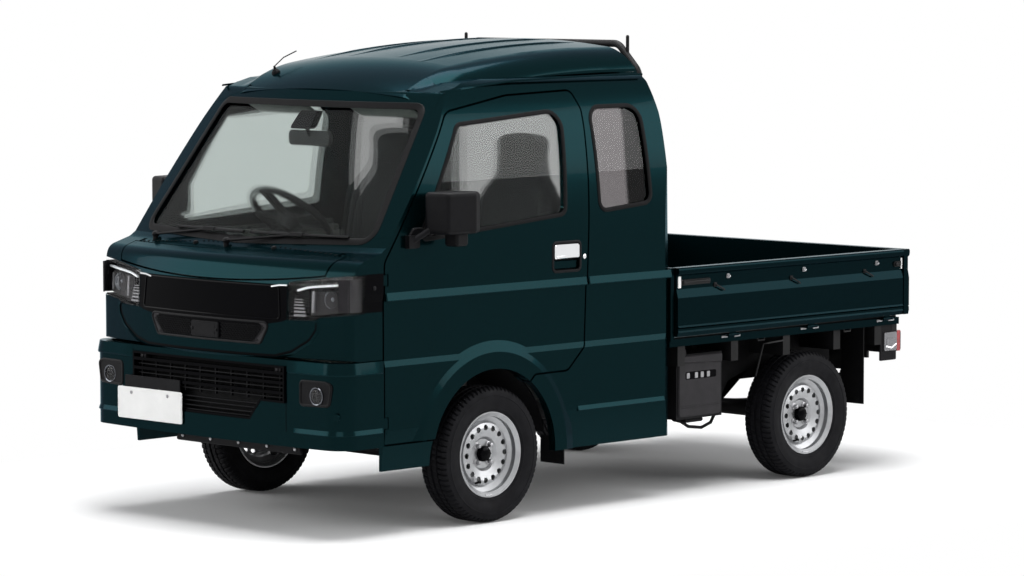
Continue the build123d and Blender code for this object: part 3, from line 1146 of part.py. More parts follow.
def make_rear_axle():
    """The live axle on leaf springs, with its differential and propeller shaft."""
    x = REAR_TRACK / 2
    tube_end = x - HUB_DEPTH - RUNNING_GAP
    tube = bar_x(AXLE_TUBE_RADIUS, -tube_end, tube_end, WHEELBASE, TYRE_RADIUS)
    shaft = bar_x(SPINDLE_RADIUS, 0, x + DISC_FACE - RIM_WALL * 2 - FIT * 2, WHEELBASE, TYRE_RADIUS)
    plate = bar_x(BACK_PLATE_RADIUS, tube_end - RIM_WALL, tube_end, WHEELBASE, TYRE_RADIUS)
    diff = Pos(0, WHEELBASE, TYRE_RADIUS) * Sphere(DIFF_RADIUS)
    start = (0, ENGINE_REAR_Y + RUNNING_GAP, RAIL_BOTTOM_Z - OVERRUN)
    nose_y = WHEELBASE - DIFF_NOSE_LENGTH
    nose = rod((0, nose_y, TYRE_RADIUS), (0, WHEELBASE, TYRE_RADIUS), DIFF_NOSE_RADIUS)
    shaft_bar = rod(start, (0, nose_y + LEAF, TYRE_RADIUS), SHAFT_RADIUS)
    front, rear = WHEELBASE - SPRING_HALF_LENGTH, WHEELBASE + SPRING_HALF_LENGTH
    low = TYRE_RADIUS + AXLE_TUBE_RADIUS
    leaves = None
    for count, share in enumerate(LEAF_SHARES):
        drop = count * LEAF
        reach = SPRING_HALF_LENGTH * share
        rise = SPRING_RISE * share * share
        bent = []
        for z in (low + LEAF * 3 - drop, low + LEAF * 2 - drop):
            bent.append(ThreePointArc((WHEELBASE - reach, z + rise), (WHEELBASE, z),
                                      (WHEELBASE + reach, z + rise)))
        top, under = bent
        ends = Line(top @ 0, under @ 0).edges() + Line(top @ 1, under @ 1).edges()
        leaf = along_x(make_face(top.edges() + under.edges() + ends), SPRING_X - SPRING_WIDTH / 2,
                       SPRING_X + SPRING_WIDTH / 2)
        leaves = leaf if leaves is None else leaves + leaf
    eye_z = low + SPRING_RISE + LEAF * 5 / 2
    eyes = bar_x(LEAF * 2, SPRING_X - SPRING_WIDTH / 2, SPRING_X + SPRING_WIDTH / 2, front, eye_z)
    eyes = eyes + bar_x(LEAF * 2, SPRING_X - SPRING_WIDTH / 2, SPRING_X + SPRING_WIDTH / 2, rear, eye_z)
    clamp = block(SPRING_X - SPRING_CLAMP, SPRING_X + SPRING_CLAMP, WHEELBASE - SPRING_WIDTH,
                  WHEELBASE + SPRING_WIDTH,
                  TYRE_RADIUS, low + LEAF * 4)
    keep("rear_axle", tube + both_sides(shaft + plate + leaves + eyes + clamp) + diff + nose + shaft_bar)
    return front, rear, eye_z


def rail_block(y0, y1, z0, z1):
    """A block as wide as the left frame rail."""
    return block(RAIL_X - RAIL_WIDTH / 2, RAIL_X + RAIL_WIDTH / 2, y0, y1, z0, z1)


def make_frame(front, rear, eye_z, rack_z):
    """The ladder frame with its cross members, spring hangers and rack holder."""
    top = RAIL_BOTTOM_Z + RAIL_HEIGHT
    rear_top = RAIL_REAR_Z + RAIL_HEIGHT
    kick_end = RAIL_KICK_Y + RAIL_KICK_RUN
    rail = along_x(profile([
        (RAIL_START_Y, RAIL_BOTTOM_Z), (RAIL_KICK_Y, RAIL_BOTTOM_Z), (kick_end, RAIL_REAR_Z), (RAIL_END_Y,
                RAIL_REAR_Z),
        (RAIL_END_Y, rear_top), (kick_end - RAIL_KICK_LEAD, rear_top), (RAIL_KICK_Y - RAIL_KICK_LEAD,
                top), (RAIL_START_Y, top),
    ]), RAIL_X - RAIL_WIDTH / 2, RAIL_X + RAIL_WIDTH / 2)
    frame = both_sides(rail)
    for y in CROSSMEMBERS:
        z = (RAIL_BOTTOM_Z if y < RAIL_KICK_Y else RAIL_REAR_Z) + RAIL_HEIGHT / 2
        frame = frame + bar_x(CROSSMEMBER_RADIUS, -RAIL_X, RAIL_X, y, z)
    hangers = None
    for y in (front, rear):
        hanger = block(RAIL_X, SPRING_X + SPRING_WIDTH / 2, y - LEAF * 3, y + LEAF * 3,
                       eye_z + LEAF * 2 + FIT,
                       RAIL_REAR_Z + RAIL_HEIGHT / 2)
        hangers = hanger if hangers is None else hangers + hanger
    engine_y = (ENGINE_FRONT_Y + ENGINE_REAR_Y) / 2
    engine_mount = block(ENGINE_HALF_WIDTH + FIT, RAIL_X, engine_y - OVERRUN, engine_y + OVERRUN,
                         RAIL_BOTTOM_Z + RAIL_HEIGHT / 3, RAIL_BOTTOM_Z + RAIL_HEIGHT * 2 / 3)
    sleeve = bar_x(RACK_SLEEVE, -RACK_HOLDER_X - RAIL_WIDTH, RACK_HOLDER_X + RAIL_WIDTH, STEER_ARM, rack_z)
    holder = block(RACK_HOLDER_X, RACK_HOLDER_X + RAIL_WIDTH, STEER_ARM - RACK_SLEEVE / 2,
                   STEER_ARM + RACK_SLEEVE / 2,
                   rack_z, RAIL_BOTTOM_Z + RAIL_HEIGHT / 2)
    bore = bar_x(RACK_RADIUS + FIT, -HALF_WIDTH, HALF_WIDTH, STEER_ARM, rack_z)
    frame = frame + ((sleeve + both_sides(holder)) - bore)
    keep("chassis_frame", frame + both_sides(hangers + engine_mount))
    return rail


def make_sills(rail):
    """The cross sills that carry the bed, the first one on posts."""
    beam_top = BED_FLOOR_Z - BED_FLOOR_SHEET - FIT
    low = RAIL_REAR_Z + RAIL_HEIGHT + FIT
    end = SIDE_RAIL_X - SIDE_RAIL_WALL - FIT
    post = rail_block(SILLS[0] - SILL_WIDTH / 2, SILLS[0] + SILL_WIDTH / 2, RAIL_BOTTOM_Z + RAIL_HEIGHT / 2,
                      beam_top - FIT)
    post = post - rail - Pos(0, 0, FIT) * rail
    post = post & rail_block(SILLS[0] - SILL_WIDTH, SILLS[0] + SILL_WIDTH, RAIL_BOTTOM_Z + RAIL_HEIGHT,
                             beam_top)
    sills = both_sides(post)
    for y in SILLS:
        sills = sills + block(-end, end, y - SILL_WIDTH / 2, y + SILL_WIDTH / 2, low, beam_top)
    keep("bed_sills", sills)


def make_front_arms():
    """The lower arms and drag rods that guide the front wheels."""
    king = FRONT_TRACK / 2 - KINGPIN_INSET
    ball = Pos(king, 0, BALL_JOINT_Z) * Sphere(BALL_RADIUS)
    socket = Pos(king, 0, BALL_JOINT_Z) * Cylinder(STUD_RADIUS + SPINDLE_CLEARANCE, BALL_JOINT_Z / 2)
    pivot_z = RAIL_BOTTOM_Z - OVERRUN
    arm = rod((RAIL_X, 0, pivot_z), (king, 0, BALL_JOINT_Z), ARM_RADIUS)
    drag = rod((RAIL_X, DECK_FRONT_Y, pivot_z), (king - DRAG_INSET, 0, BALL_JOINT_Z + DRAG_RISE), DRAG_RADIUS)
    lugs = rail_block(-OVERRUN, OVERRUN, pivot_z - OVERRUN, RAIL_BOTTOM_Z - FIT)
    lugs = lugs + rail_block(DECK_FRONT_Y - OVERRUN, DECK_FRONT_Y + OVERRUN, pivot_z - OVERRUN,
                             RAIL_BOTTOM_Z - FIT)
    keep("front_arms", both_sides((ball + arm - socket) + drag + lugs))


def make_bed():
    """Floor, side rails, front frame, guard hoop and the three drop gates."""
    low = BED_FLOOR_Z - BED_FLOOR_SHEET
    gate_in = HALF_WIDTH - GATE_THICKNESS
    tail_in = REAR_Y - GATE_THICKNESS
    floor = block(-gate_in + RUNNING_GAP, gate_in - RUNNING_GAP, BED_FRONT_Y - OVERRUN,
                  tail_in - RUNNING_GAP, low, BED_FLOOR_Z)
    floor = floor + block(-BED_RECESS_HALF + RUNNING_GAP, BED_RECESS_HALF - RUNNING_GAP, BED_RECESS_Y,
                          BED_FRONT_Y, low, BED_FLOOR_Z)
    rail = block(SIDE_RAIL_X - SIDE_RAIL_WALL, SIDE_RAIL_X, BED_FRONT_Y - OVERRUN, tail_in - RUNNING_GAP,
                 SIDE_RAIL_Z, HINGE_AXIS_Z)
    rail = rail + block(gate_in - OVERRUN, SIDE_RAIL_X, BED_FRONT_Y - OVERRUN, tail_in - RUNNING_GAP,
                        low - FIT, HINGE_AXIS_Z)
    post = block(BED_RECESS_HALF + OVERRUN, gate_in + OVERRUN, BED_FRONT_Y - OVERRUN, BED_FRONT_Y, low,
                 GATE_TOP_Z)
    header = block(-gate_in, gate_in, BED_FRONT_Y - OVERRUN, BED_FRONT_Y, BED_RECESS_TOP_Z, GATE_TOP_Z)
    bed = floor + both_sides(rail + post) + header
    axis_x = HALF_WIDTH - HINGE_BARREL
    side_span = (BED_FRONT_Y + GATE_END_GAP, tail_in - GATE_END_GAP)
    section = [
        (HALF_WIDTH, GATE_TOP_Z), (HALF_WIDTH, GATE_RAIL_Z), (HALF_WIDTH - GATE_RECESS,
                GATE_RAIL_Z - GATE_RECESS / 2),
        (HALF_WIDTH - GATE_RECESS, GATE_RECESS_Z), (HALF_WIDTH, GATE_BEVEL_Z), (HALF_WIDTH,
                GATE_RIB_Z + GATE_RIB_DEPTH),
        (HALF_WIDTH - GATE_RIB_DEPTH, GATE_RIB_Z), (HALF_WIDTH, GATE_RIB_Z - GATE_RIB_DEPTH),
        (HALF_WIDTH, GATE_RIB_Z - GATE_RIB_STEP), (HALF_WIDTH - GATE_RIB_DEPTH, GATE_BOTTOM_Z), (gate_in,
                GATE_BOTTOM_Z), (gate_in, GATE_TOP_Z),
    ]
    gate = along_y(profile(section), *side_span)
    tail = along_x(profile([(x - HALF_WIDTH + REAR_Y, z) for x, z in section]), -HALF_WIDTH, HALF_WIDTH)
    barrel, pin, lug = HINGE_BARREL, HINGE_PIN, HINGE_LUG
    for y in SIDE_HINGES:
        tube = bar_y(barrel, y, y + HINGE_LENGTH, axis_x, HINGE_AXIS_Z)
        leaf = block(axis_x - barrel, axis_x - barrel / 3, y, y + HINGE_LENGTH, HINGE_AXIS_Z,
                     GATE_BOTTOM_Z + lug)
        hole = bar_y(pin + FIT, y - OVERRUN, y + HINGE_LENGTH + OVERRUN, axis_x, HINGE_AXIS_Z)
        gate = gate + ((tube + leaf) - hole)
        axle = bar_y(pin, y - lug - RUNNING_GAP / 2, y + HINGE_LENGTH + lug + RUNNING_GAP / 2, axis_x,
                     HINGE_AXIS_Z)
        for start in (y - lug - RUNNING_GAP / 2, y + HINGE_LENGTH + RUNNING_GAP / 2):
            ear = bar_y(barrel, start, start + lug, axis_x, HINGE_AXIS_Z)
            strap = block(SIDE_RAIL_X - FIT, axis_x, start, start + lug, HINGE_AXIS_Z - barrel, HINGE_AXIS_Z)
            bed = bed + both_sides(ear + strap)
        bed = bed + both_sides(axle)
    axis_y = REAR_Y - HINGE_BARREL
    frame_y = tail_in - RUNNING_GAP
    for x in TAIL_HINGES:
        tube = bar_x(barrel, x, x + HINGE_LENGTH, axis_y, HINGE_AXIS_Z)
        leaf = block(x, x + HINGE_LENGTH, axis_y - barrel, axis_y - barrel / 3, HINGE_AXIS_Z,
                     GATE_BOTTOM_Z + lug)
        hole = bar_x(pin + FIT, x - OVERRUN, x + HINGE_LENGTH + OVERRUN, axis_y, HINGE_AXIS_Z)
        tail = tail + both_sides((tube + leaf) - hole)
        axle = bar_x(pin, x - lug - RUNNING_GAP / 2, x + HINGE_LENGTH + lug + RUNNING_GAP / 2, axis_y,
                     HINGE_AXIS_Z)
        for start in (x - lug - RUNNING_GAP / 2, x + HINGE_LENGTH + RUNNING_GAP / 2):
            ear = bar_x(barrel, start, start + lug, axis_y, HINGE_AXIS_Z)
            strap = block(start, start + lug, frame_y - FIT, axis_y, HINGE_AXIS_Z - barrel, HINGE_AXIS_Z)
            bed = bed + both_sides(ear + strap)
        bed = bed + both_sides(axle)
    keep("bed_floor", bed)
    split_side("side_gate", gate)
    keep("tailgate", tail)
    leg = HOOP_LEG_X
    path = FilletPolyline((-leg, GATE_TOP_Z + FIT), (-leg, HOOP_BEND_Z), (-HOOP_TOP_X, HOOP_TOP_Z),
                          (HOOP_TOP_X, HOOP_TOP_Z),
                          (leg, HOOP_BEND_Z), (leg, GATE_TOP_Z + FIT), radius=HOOP_BEND_RADIUS)
    path = Plane((0, HOOP_Y, 0), x_dir=(1, 0, 0), z_dir=(0, -1, 0)) * path
    hoop = sweep(Plane(origin=path @ 0, z_dir=path % 0) * Circle(HOOP_RADIUS), path=path)
    share = (HOOP_HOOK_X - HOOP_TOP_X) / (HOOP_LEG_X - HOOP_TOP_X)
    hook_z = HOOP_TOP_Z + (HOOP_BEND_Z - HOOP_TOP_Z) * share
    hook = rod((HOOP_HOOK_X, HOOP_Y, hook_z), (HOOP_HOOK_X, HOOP_Y, HEIGHT - HOOP_HOOK_RADIUS),
               HOOP_HOOK_RADIUS)
    hook = hook + Pos(HOOP_HOOK_X, HOOP_Y, HEIGHT - HOOP_HOOK_RADIUS) * Sphere(HOOP_HOOK_RADIUS)
    keep("guard_hoop", hoop + both_sides(hook))


def make_underbody():
    """Fuel tank, air box, silencer, tail frame, rear lamps and mud flaps."""
    strap_top = RAIL_REAR_Z + RAIL_HEIGHT
    tank = block(-TANK_OUTER_X, -TANK_INNER_X, TANK_FRONT_Y, TANK_REAR_Y, TANK_BOTTOM_Z, TANK_TOP_Z)
    tank = tank + block(-TANK_STRAP_X, -TANK_INNER_X, SILLS[0] - SILL_WIDTH / 2 + FIT,
                        SILLS[0] + SILL_WIDTH / 2, TANK_TOP_Z, strap_top - FIT)
    keep("fuel_tank", tank)
    box = block(AIR_BOX_INNER_X, AIR_BOX_OUTER_X, AIR_BOX_FRONT_Y, AIR_BOX_REAR_Y, AIR_BOX_BOTTOM_Z,
                AIR_BOX_TOP_Z)
    box = box - block(0, SIDE_OUT, SILLS[0] - SILL_WIDTH, SILLS[0] + SILL_WIDTH, strap_top - FIT, HEIGHT)
    keep("air_box", box)
    silencer = bar_y(MUFFLER_RADIUS, MUFFLER_FRONT_Y, MUFFLER_REAR_Y, MUFFLER_X, MUFFLER_Z)
    bracket = block(MUFFLER_X - OVERRUN, MUFFLER_X + OVERRUN, CROSSMEMBERS[-1] - OVERRUN,
                    CROSSMEMBERS[-1] + OVERRUN,
                    MUFFLER_Z, RAIL_REAR_Z + RAIL_HEIGHT / 2 - CROSSMEMBER_RADIUS - FIT)
    pipe = bar_y(TAIL_PIPE_RADIUS, MUFFLER_REAR_Y - OVERRUN, TAIL_FRAME_Y + OVERRUN,
                 MUFFLER_X - MUFFLER_RADIUS / 2, MUFFLER_Z)
    keep("silencer", silencer + bracket + pipe)
    low = BED_FLOOR_Z - BED_FLOOR_SHEET
    panel = block(-LAMP_BOX_INNER_X + FIT, LAMP_BOX_INNER_X - FIT, TAIL_FRAME_Y,
                  TAIL_FRAME_Y + TAIL_FRAME_SHEET, TAIL_FRAME_Z, SIDE_RAIL_Z)
    wings = block(-SIDE_RAIL_X + SIDE_RAIL_WALL + FIT, SIDE_RAIL_X - SIDE_RAIL_WALL - FIT,
                  TAIL_FRAME_Y - OVERRUN, TAIL_FRAME_Y + TAIL_FRAME_SHEET, LAMP_BOX_TOP_Z + FIT, low - FIT)
    link = rail_block(RAIL_END_Y + FIT, TAIL_FRAME_Y + FIT, RAIL_REAR_Z + FIT,
                      RAIL_REAR_Z + RAIL_HEIGHT - FIT)
    keep("tail_frame", panel + wings + both_sides(link))
    lens_y = LAMP_BOX_REAR_Y - REAR_LENS
    lens = block(LAMP_BOX_INNER_X, LAMP_BOX_OUTER_X, lens_y + FIT, LAMP_BOX_REAR_Y, LAMP_BOX_BOTTOM_Z,
                 LAMP_BOX_TOP_Z)
    lamp = block(LAMP_BOX_INNER_X, LAMP_BOX_OUTER_X, LAMP_BOX_FRONT_Y, lens_y, LAMP_BOX_BOTTOM_Z,
                 LAMP_BOX_TOP_Z)
    keep("rear_lamps", both_sides(lens))
    keep("rear_lamp_boxes", both_sides(lamp))
    front_flap = block(FLAP_INNER_X, BAND_X - PANEL_WALL - FIT, FRONT_FLAP_Y, FRONT_FLAP_Y + FLAP_SHEET,
                       FRONT_FLAP_FOOT_Z, FRONT_FLAP_HEAD_Z)
    rear_flap = block(FLAP_INNER_X, FLAP_OUTER_X - OVERRUN, REAR_FLAP_Y, REAR_FLAP_Y + FLAP_SHEET,
                      REAR_FLAP_FOOT_Z, low - FIT)
    keep("mud_flaps", both_sides(front_flap + rear_flap))


def make_mirrors():
    """The door mirrors: a foot on the door, a stem, a shell and a low round-cornered lobe."""
    foot = block(SIDE_X - RUNNING_GAP, SIDE_X + MIRROR_STEM, MIRROR_FOOT_Y - MIRROR_STEM,
                 MIRROR_FOOT_Y + MIRROR_STEM,
                 MIRROR_FOOT_Z - MIRROR_STEM, MIRROR_FOOT_Z + MIRROR_STEM)
    foot = foot - SKIN_FORM
    stem = rod((SIDE_X + MIRROR_STEM / 2, MIRROR_FOOT_Y, MIRROR_FOOT_Z), (MIRROR_X, MIRROR_Y, MIRROR_Z),
               MIRROR_STEM / 2)
    shell = fillet(along_z(profile(MIRROR_PLAN), MIRROR_FOOT, MIRROR_HEAD).edges(), MIRROR_ROUND)
    lobe = fillet(along_z(profile(MIRROR_LOBE), MIRROR_LOBE_FOOT, MIRROR_FOOT + MIRROR_ROUND).edges(),
                  MIRROR_LOBE_ROUND)
    split_side("mirror", (foot - parts["door_left"]) + stem + shell + lobe)


def main():
    make_doors()
    quarter = make_cab_sides()
    make_roof()
    make_rear_wall(quarter)
    make_nose()
    make_interior()
    make_wheels()
    rack_z = make_front_axle()
    front, rear, eye_z = make_rear_axle()
    rail = make_frame(front, rear, eye_z, rack_z)
    make_sills(rail)
    make_front_arms()
    keep("engine_block", block(-ENGINE_HALF_WIDTH, ENGINE_HALF_WIDTH, ENGINE_FRONT_Y, ENGINE_REAR_Y,
                               ENGINE_BOTTOM_Z, ENGINE_TOP_Z))
    make_bed()
    make_underbody()
    make_mirrors()
    os.makedirs("parts", exist_ok=True)
    for name, shape in parts.items():
        export_step(Pos(0, -ORIGIN_Y, 0) * shape, "parts/" + name + ".step")


main()
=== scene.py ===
import bpy
import bmesh
import json
import math
from mathutils import Matrix, Vector
from mathutils.bvhtree import BVHTree


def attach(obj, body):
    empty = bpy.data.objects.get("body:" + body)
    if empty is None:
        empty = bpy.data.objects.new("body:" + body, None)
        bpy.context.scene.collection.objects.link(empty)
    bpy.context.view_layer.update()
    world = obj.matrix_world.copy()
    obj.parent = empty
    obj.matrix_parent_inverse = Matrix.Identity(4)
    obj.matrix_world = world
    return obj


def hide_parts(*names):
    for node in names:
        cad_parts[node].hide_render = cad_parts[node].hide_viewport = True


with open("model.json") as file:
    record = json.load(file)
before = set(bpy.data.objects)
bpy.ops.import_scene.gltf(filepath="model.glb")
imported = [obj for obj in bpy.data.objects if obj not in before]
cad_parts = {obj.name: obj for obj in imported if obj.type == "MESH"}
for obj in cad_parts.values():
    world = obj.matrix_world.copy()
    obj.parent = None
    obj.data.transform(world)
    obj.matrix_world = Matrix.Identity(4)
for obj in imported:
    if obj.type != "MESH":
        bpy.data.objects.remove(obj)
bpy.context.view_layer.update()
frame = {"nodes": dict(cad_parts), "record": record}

MM = 0.001
ORIGIN_Y = 852.5
SIDES = (("left", 1), ("right", -1))


def P(x, y, z):
    """A place in millimetres, y from the front axle, as a point in the row frame."""
    return Vector((x * MM, (y - ORIGIN_Y) * MM, z * MM))


def add_object(name, data):
    """A new object in the scene that shows the data."""
    obj = bpy.data.objects.new(name, data)
    bpy.context.scene.collection.objects.link(obj)
    return obj


# Camera

CAMERA_PLACE = Vector((11.5746, -11.7397, 2.1975))
CAMERA_YAW = math.radians(44.621)
CAMERA_PITCH = math.radians(4.748)
CAMERA_ROLL = math.radians(-0.053)
CAMERA_LENS = 139.475


def make_camera():
    """The photograph's viewpoint: place, yaw, pitch, roll and lens."""
    data = bpy.data.cameras.new("camera")
    data.lens = CAMERA_LENS
    data.sensor_width = 36.0
    data.clip_end = 100.0
    cam = add_object("camera", data)
    back = Vector((math.sin(CAMERA_YAW) * math.cos(CAMERA_PITCH),
                   -math.cos(CAMERA_YAW) * math.cos(CAMERA_PITCH), math.sin(CAMERA_PITCH)))
    right = Vector((0, 0, 1)).cross(back).normalized()
    up = back.cross(right)
    turn = Matrix.Rotation(CAMERA_ROLL, 3, back)
    right, up = turn @ right, turn @ up
    cam.matrix_world = Matrix((
        (right.x, up.x, back.x, CAMERA_PLACE.x),
        (right.y, up.y, back.y, CAMERA_PLACE.y),
        (right.z, up.z, back.z, CAMERA_PLACE.z),
        (0, 0, 0, 1),
    ))
    bpy.context.scene.camera = cam


# Stage and light


WHITE = (1, 1, 1, 1)


def add_node(nt, kind, *linked, **named):
    """A shader node: inputs by place, then inputs (capital first letter) and settings by name."""
    made = nt.nodes.new("ShaderNode" + kind)
    for key, value in [*enumerate(linked), *named.items()]:
        if isinstance(key, str):
            key = key.replace("_", " ") if key[0].isupper() else key
            if key[0].islower():
                setattr(made, key, value)
                continue
        if isinstance(value, bpy.types.NodeSocket):
            nt.links.new(value, made.inputs[key])
        else:
            made.inputs[key].default_value = value
    return made


def calc(nt, operation, *values):
    """The result of a maths node."""
    return add_node(nt, "Math", *values, operation=operation).outputs[0]


def ramp(nt, value, *ends):
    """A colour ramp between two ends of (position, colour)."""
    made = add_node(nt, "ValToRGB", value)
    for element, (position, colour) in zip(made.color_ramp.elements, ends):
        element.position = position
        element.color = (*colour, 1)
    return made.outputs[0]


def seen_rays(nt):
    """1 for a ray from the camera, a mirror image or a look through glass, and 0 for light."""
    rays = add_node(nt, "LightPath").outputs
    direct = calc(nt, "MAXIMUM", rays["Is Camera Ray"], rays["Is Glossy Ray"])
    return calc(nt, "MAXIMUM", direct, rays["Is Transmission Ray"])


def make_world():
    """White where it is seen, and a soft grey sky for the light it gives."""
    world = bpy.data.worlds.new("world")
    bpy.context.scene.world = world
    world.use_nodes = True
    nt = world.node_tree
    nt.nodes.clear()
    white = add_node(nt, "Background", Color=WHITE, Strength=1.0)
    height = add_node(nt, "SeparateXYZ", add_node(nt, "TexCoord").outputs["Generated"]).outputs["Z"]
    sky = ramp(nt, height, (0.02, (0.16, 0.165, 0.17)), (0.75, (0.85, 0.87, 0.9)))
    soft = add_node(nt, "Background", Color=sky, Strength=0.3)
    mix = add_node(nt, "MixShader", seen_rays(nt), soft.outputs[0], white.outputs[0])
    add_node(nt, "OutputWorld", mix.outputs[0])


def area_light(name, place, target, size_x, size_y, power):
    """A rectangular light at a place, turned to its target."""
    data = bpy.data.lights.new(name, "AREA")
    data.shape = "RECTANGLE"
    data.size = size_x
    data.size_y = size_y
    data.energy = power
    lamp = add_object(name, data)
    lamp.location = place
    lamp.rotation_euler = (Vector(target) - Vector(place)).to_track_quat("-Z", "Y").to_euler()


FLOOR_REACH = 60.0
SHADE_HALF_X = 1.25
SHADE_HALF_Y = 2.15
SHADE_FADE = 0.9
FLOOR_FILL = 0.04


def make_stage():
    """A floor that takes the shade near the truck and is plain white further out."""
    mesh = bpy.data.meshes.new("floor")
    s = FLOOR_REACH
    mesh.from_pydata([(-s, -s, 0), (s, -s, 0), (s, s, 0), (-s, s, 0)], [], [(0, 1, 2, 3)])
    floor = add_object("floor", mesh)
    mat = bpy.data.materials.new("floor_white")
    mat.use_nodes = True
    nt = mat.node_tree
    nt.nodes.clear()
    seen = seen_rays(nt)
    diffuse = add_node(nt, "BsdfDiffuse", Color=(0.9, 0.9, 0.9, 1))
    fill = add_node(nt, "Emission", Color=WHITE, Strength=calc(nt, "MULTIPLY", seen, FLOOR_FILL))
    lit = add_node(nt, "AddShader", diffuse.outputs[0], fill.outputs[0])
    white = add_node(nt, "Emission", Color=WHITE)
    place = add_node(nt, "SeparateXYZ", add_node(nt, "TexCoord").outputs["Object"]).outputs
    squares = []
    for axis, half in (("X", SHADE_HALF_X), ("Y", SHADE_HALF_Y)):
        over = calc(nt, "SUBTRACT", calc(nt, "ABSOLUTE", place[axis]), half)
        squares.append(calc(nt, "POWER", calc(nt, "MAXIMUM", over, 0.0), 2.0))
    distance = calc(nt, "SQRT", calc(nt, "ADD", *squares))
    fade = add_node(nt, "MapRange", distance, interpolation_type="SMOOTHSTEP", From_Min=0.0,
                    From_Max=SHADE_FADE)
    far = calc(nt, "MULTIPLY", fade.outputs[0], seen)
    mix = add_node(nt, "MixShader", far, lit.outputs[0], white.outputs[0])
    add_node(nt, "OutputMaterial", mix.outputs[0])
    mesh.materials.append(mat)
    area_light("key_top", (0.4, -0.3, 6.0), (0, 0, 0.5), 4.5, 5.5, 620)
    area_light("rear_left_soft", (7.5, 6.5, 4.1), (0, 0.2, 0.9), 9.0, 3.6, 430)
    area_light("front_right_soft", (-6.5, -8.0, 4.1), (0, -1.0, 0.9), 9.0, 3.6, 430)
    area_light("front_left_soft", (6.0, -8.5, 5.6), (0, -0.6, 0.9), 5.0, 1.8, 80)


# Materials

MATS = {}
EDGE_TINT = (0.34, 0.50, 0.56)


def surface(name, colour, rough=0.5, metal=0.0, coat=0.0, coat_rough=0.05, spec=0.5, vary=0.0,
            vary_scale=20.0, bump=0.0, bump_scale=400.0, rough_vary=0.0, alpha=1.0, transmission=0.0,
            ior=1.5, sheen=0.0, edge=WHITE[:3], kind="noise"):
    """A procedural material: colour variation, roughness variation and a fine bump."""
    mat = bpy.data.materials.new(name)
    mat.use_nodes = True
    nt = mat.node_tree
    bsdf = nt.nodes["Principled BSDF"].inputs
    for key, value in (("Metallic", metal), ("Roughness", rough), ("Coat Weight", coat),
                       ("Coat Roughness", coat_rough), ("Specular IOR Level", spec), ("IOR", ior),
                       ("Base Color", (*colour, 1)), ("Transmission Weight", transmission),
                       ("Alpha", alpha), ("Sheen Weight", sheen), ("Specular Tint", (*edge, 1))):
        bsdf[key].default_value = value
    place = add_node(nt, "TexCoord").outputs["Object"]
    if vary:
        noise = add_node(nt, "TexNoise", Vector=place, Scale=vary_scale, Detail=4.0)
        low, high = ([min(1.0, c * share) for c in colour] for share in (1 - vary, 1 + vary))
        nt.links.new(ramp(nt, noise.outputs[0], (0.35, low), (0.65, high)), bsdf["Base Color"])
    if rough_vary:
        noise = add_node(nt, "TexNoise", Vector=place, Scale=vary_scale * 0.6)
        span = add_node(nt, "MapRange", noise.outputs[0], From_Min=0.3, From_Max=0.7,
                        To_Min=max(0.02, rough - rough_vary), To_Max=rough + rough_vary)
        nt.links.new(span.outputs[0], bsdf["Roughness"])
    if bump:
        if kind == "voronoi":
            height = add_node(nt, "TexVoronoi", Vector=place, Scale=bump_scale).outputs["Distance"]
        elif kind == "weave":
            height = calc(nt, "MULTIPLY", *[
                add_node(nt, "TexWave", bands_direction=way, Vector=place, Scale=bump_scale,
                         Distortion=0.6).outputs["Fac"] for way in ("X", "Z")])
        else:
            height = add_node(nt, "TexNoise", Vector=place, Scale=bump_scale, Detail=3.0).outputs[0]
        grain = add_node(nt, "Bump", Strength=bump, Distance=0.0004, Height=height)
        nt.links.new(grain.outputs[0], bsdf["Normal"])
    MATS[name] = mat


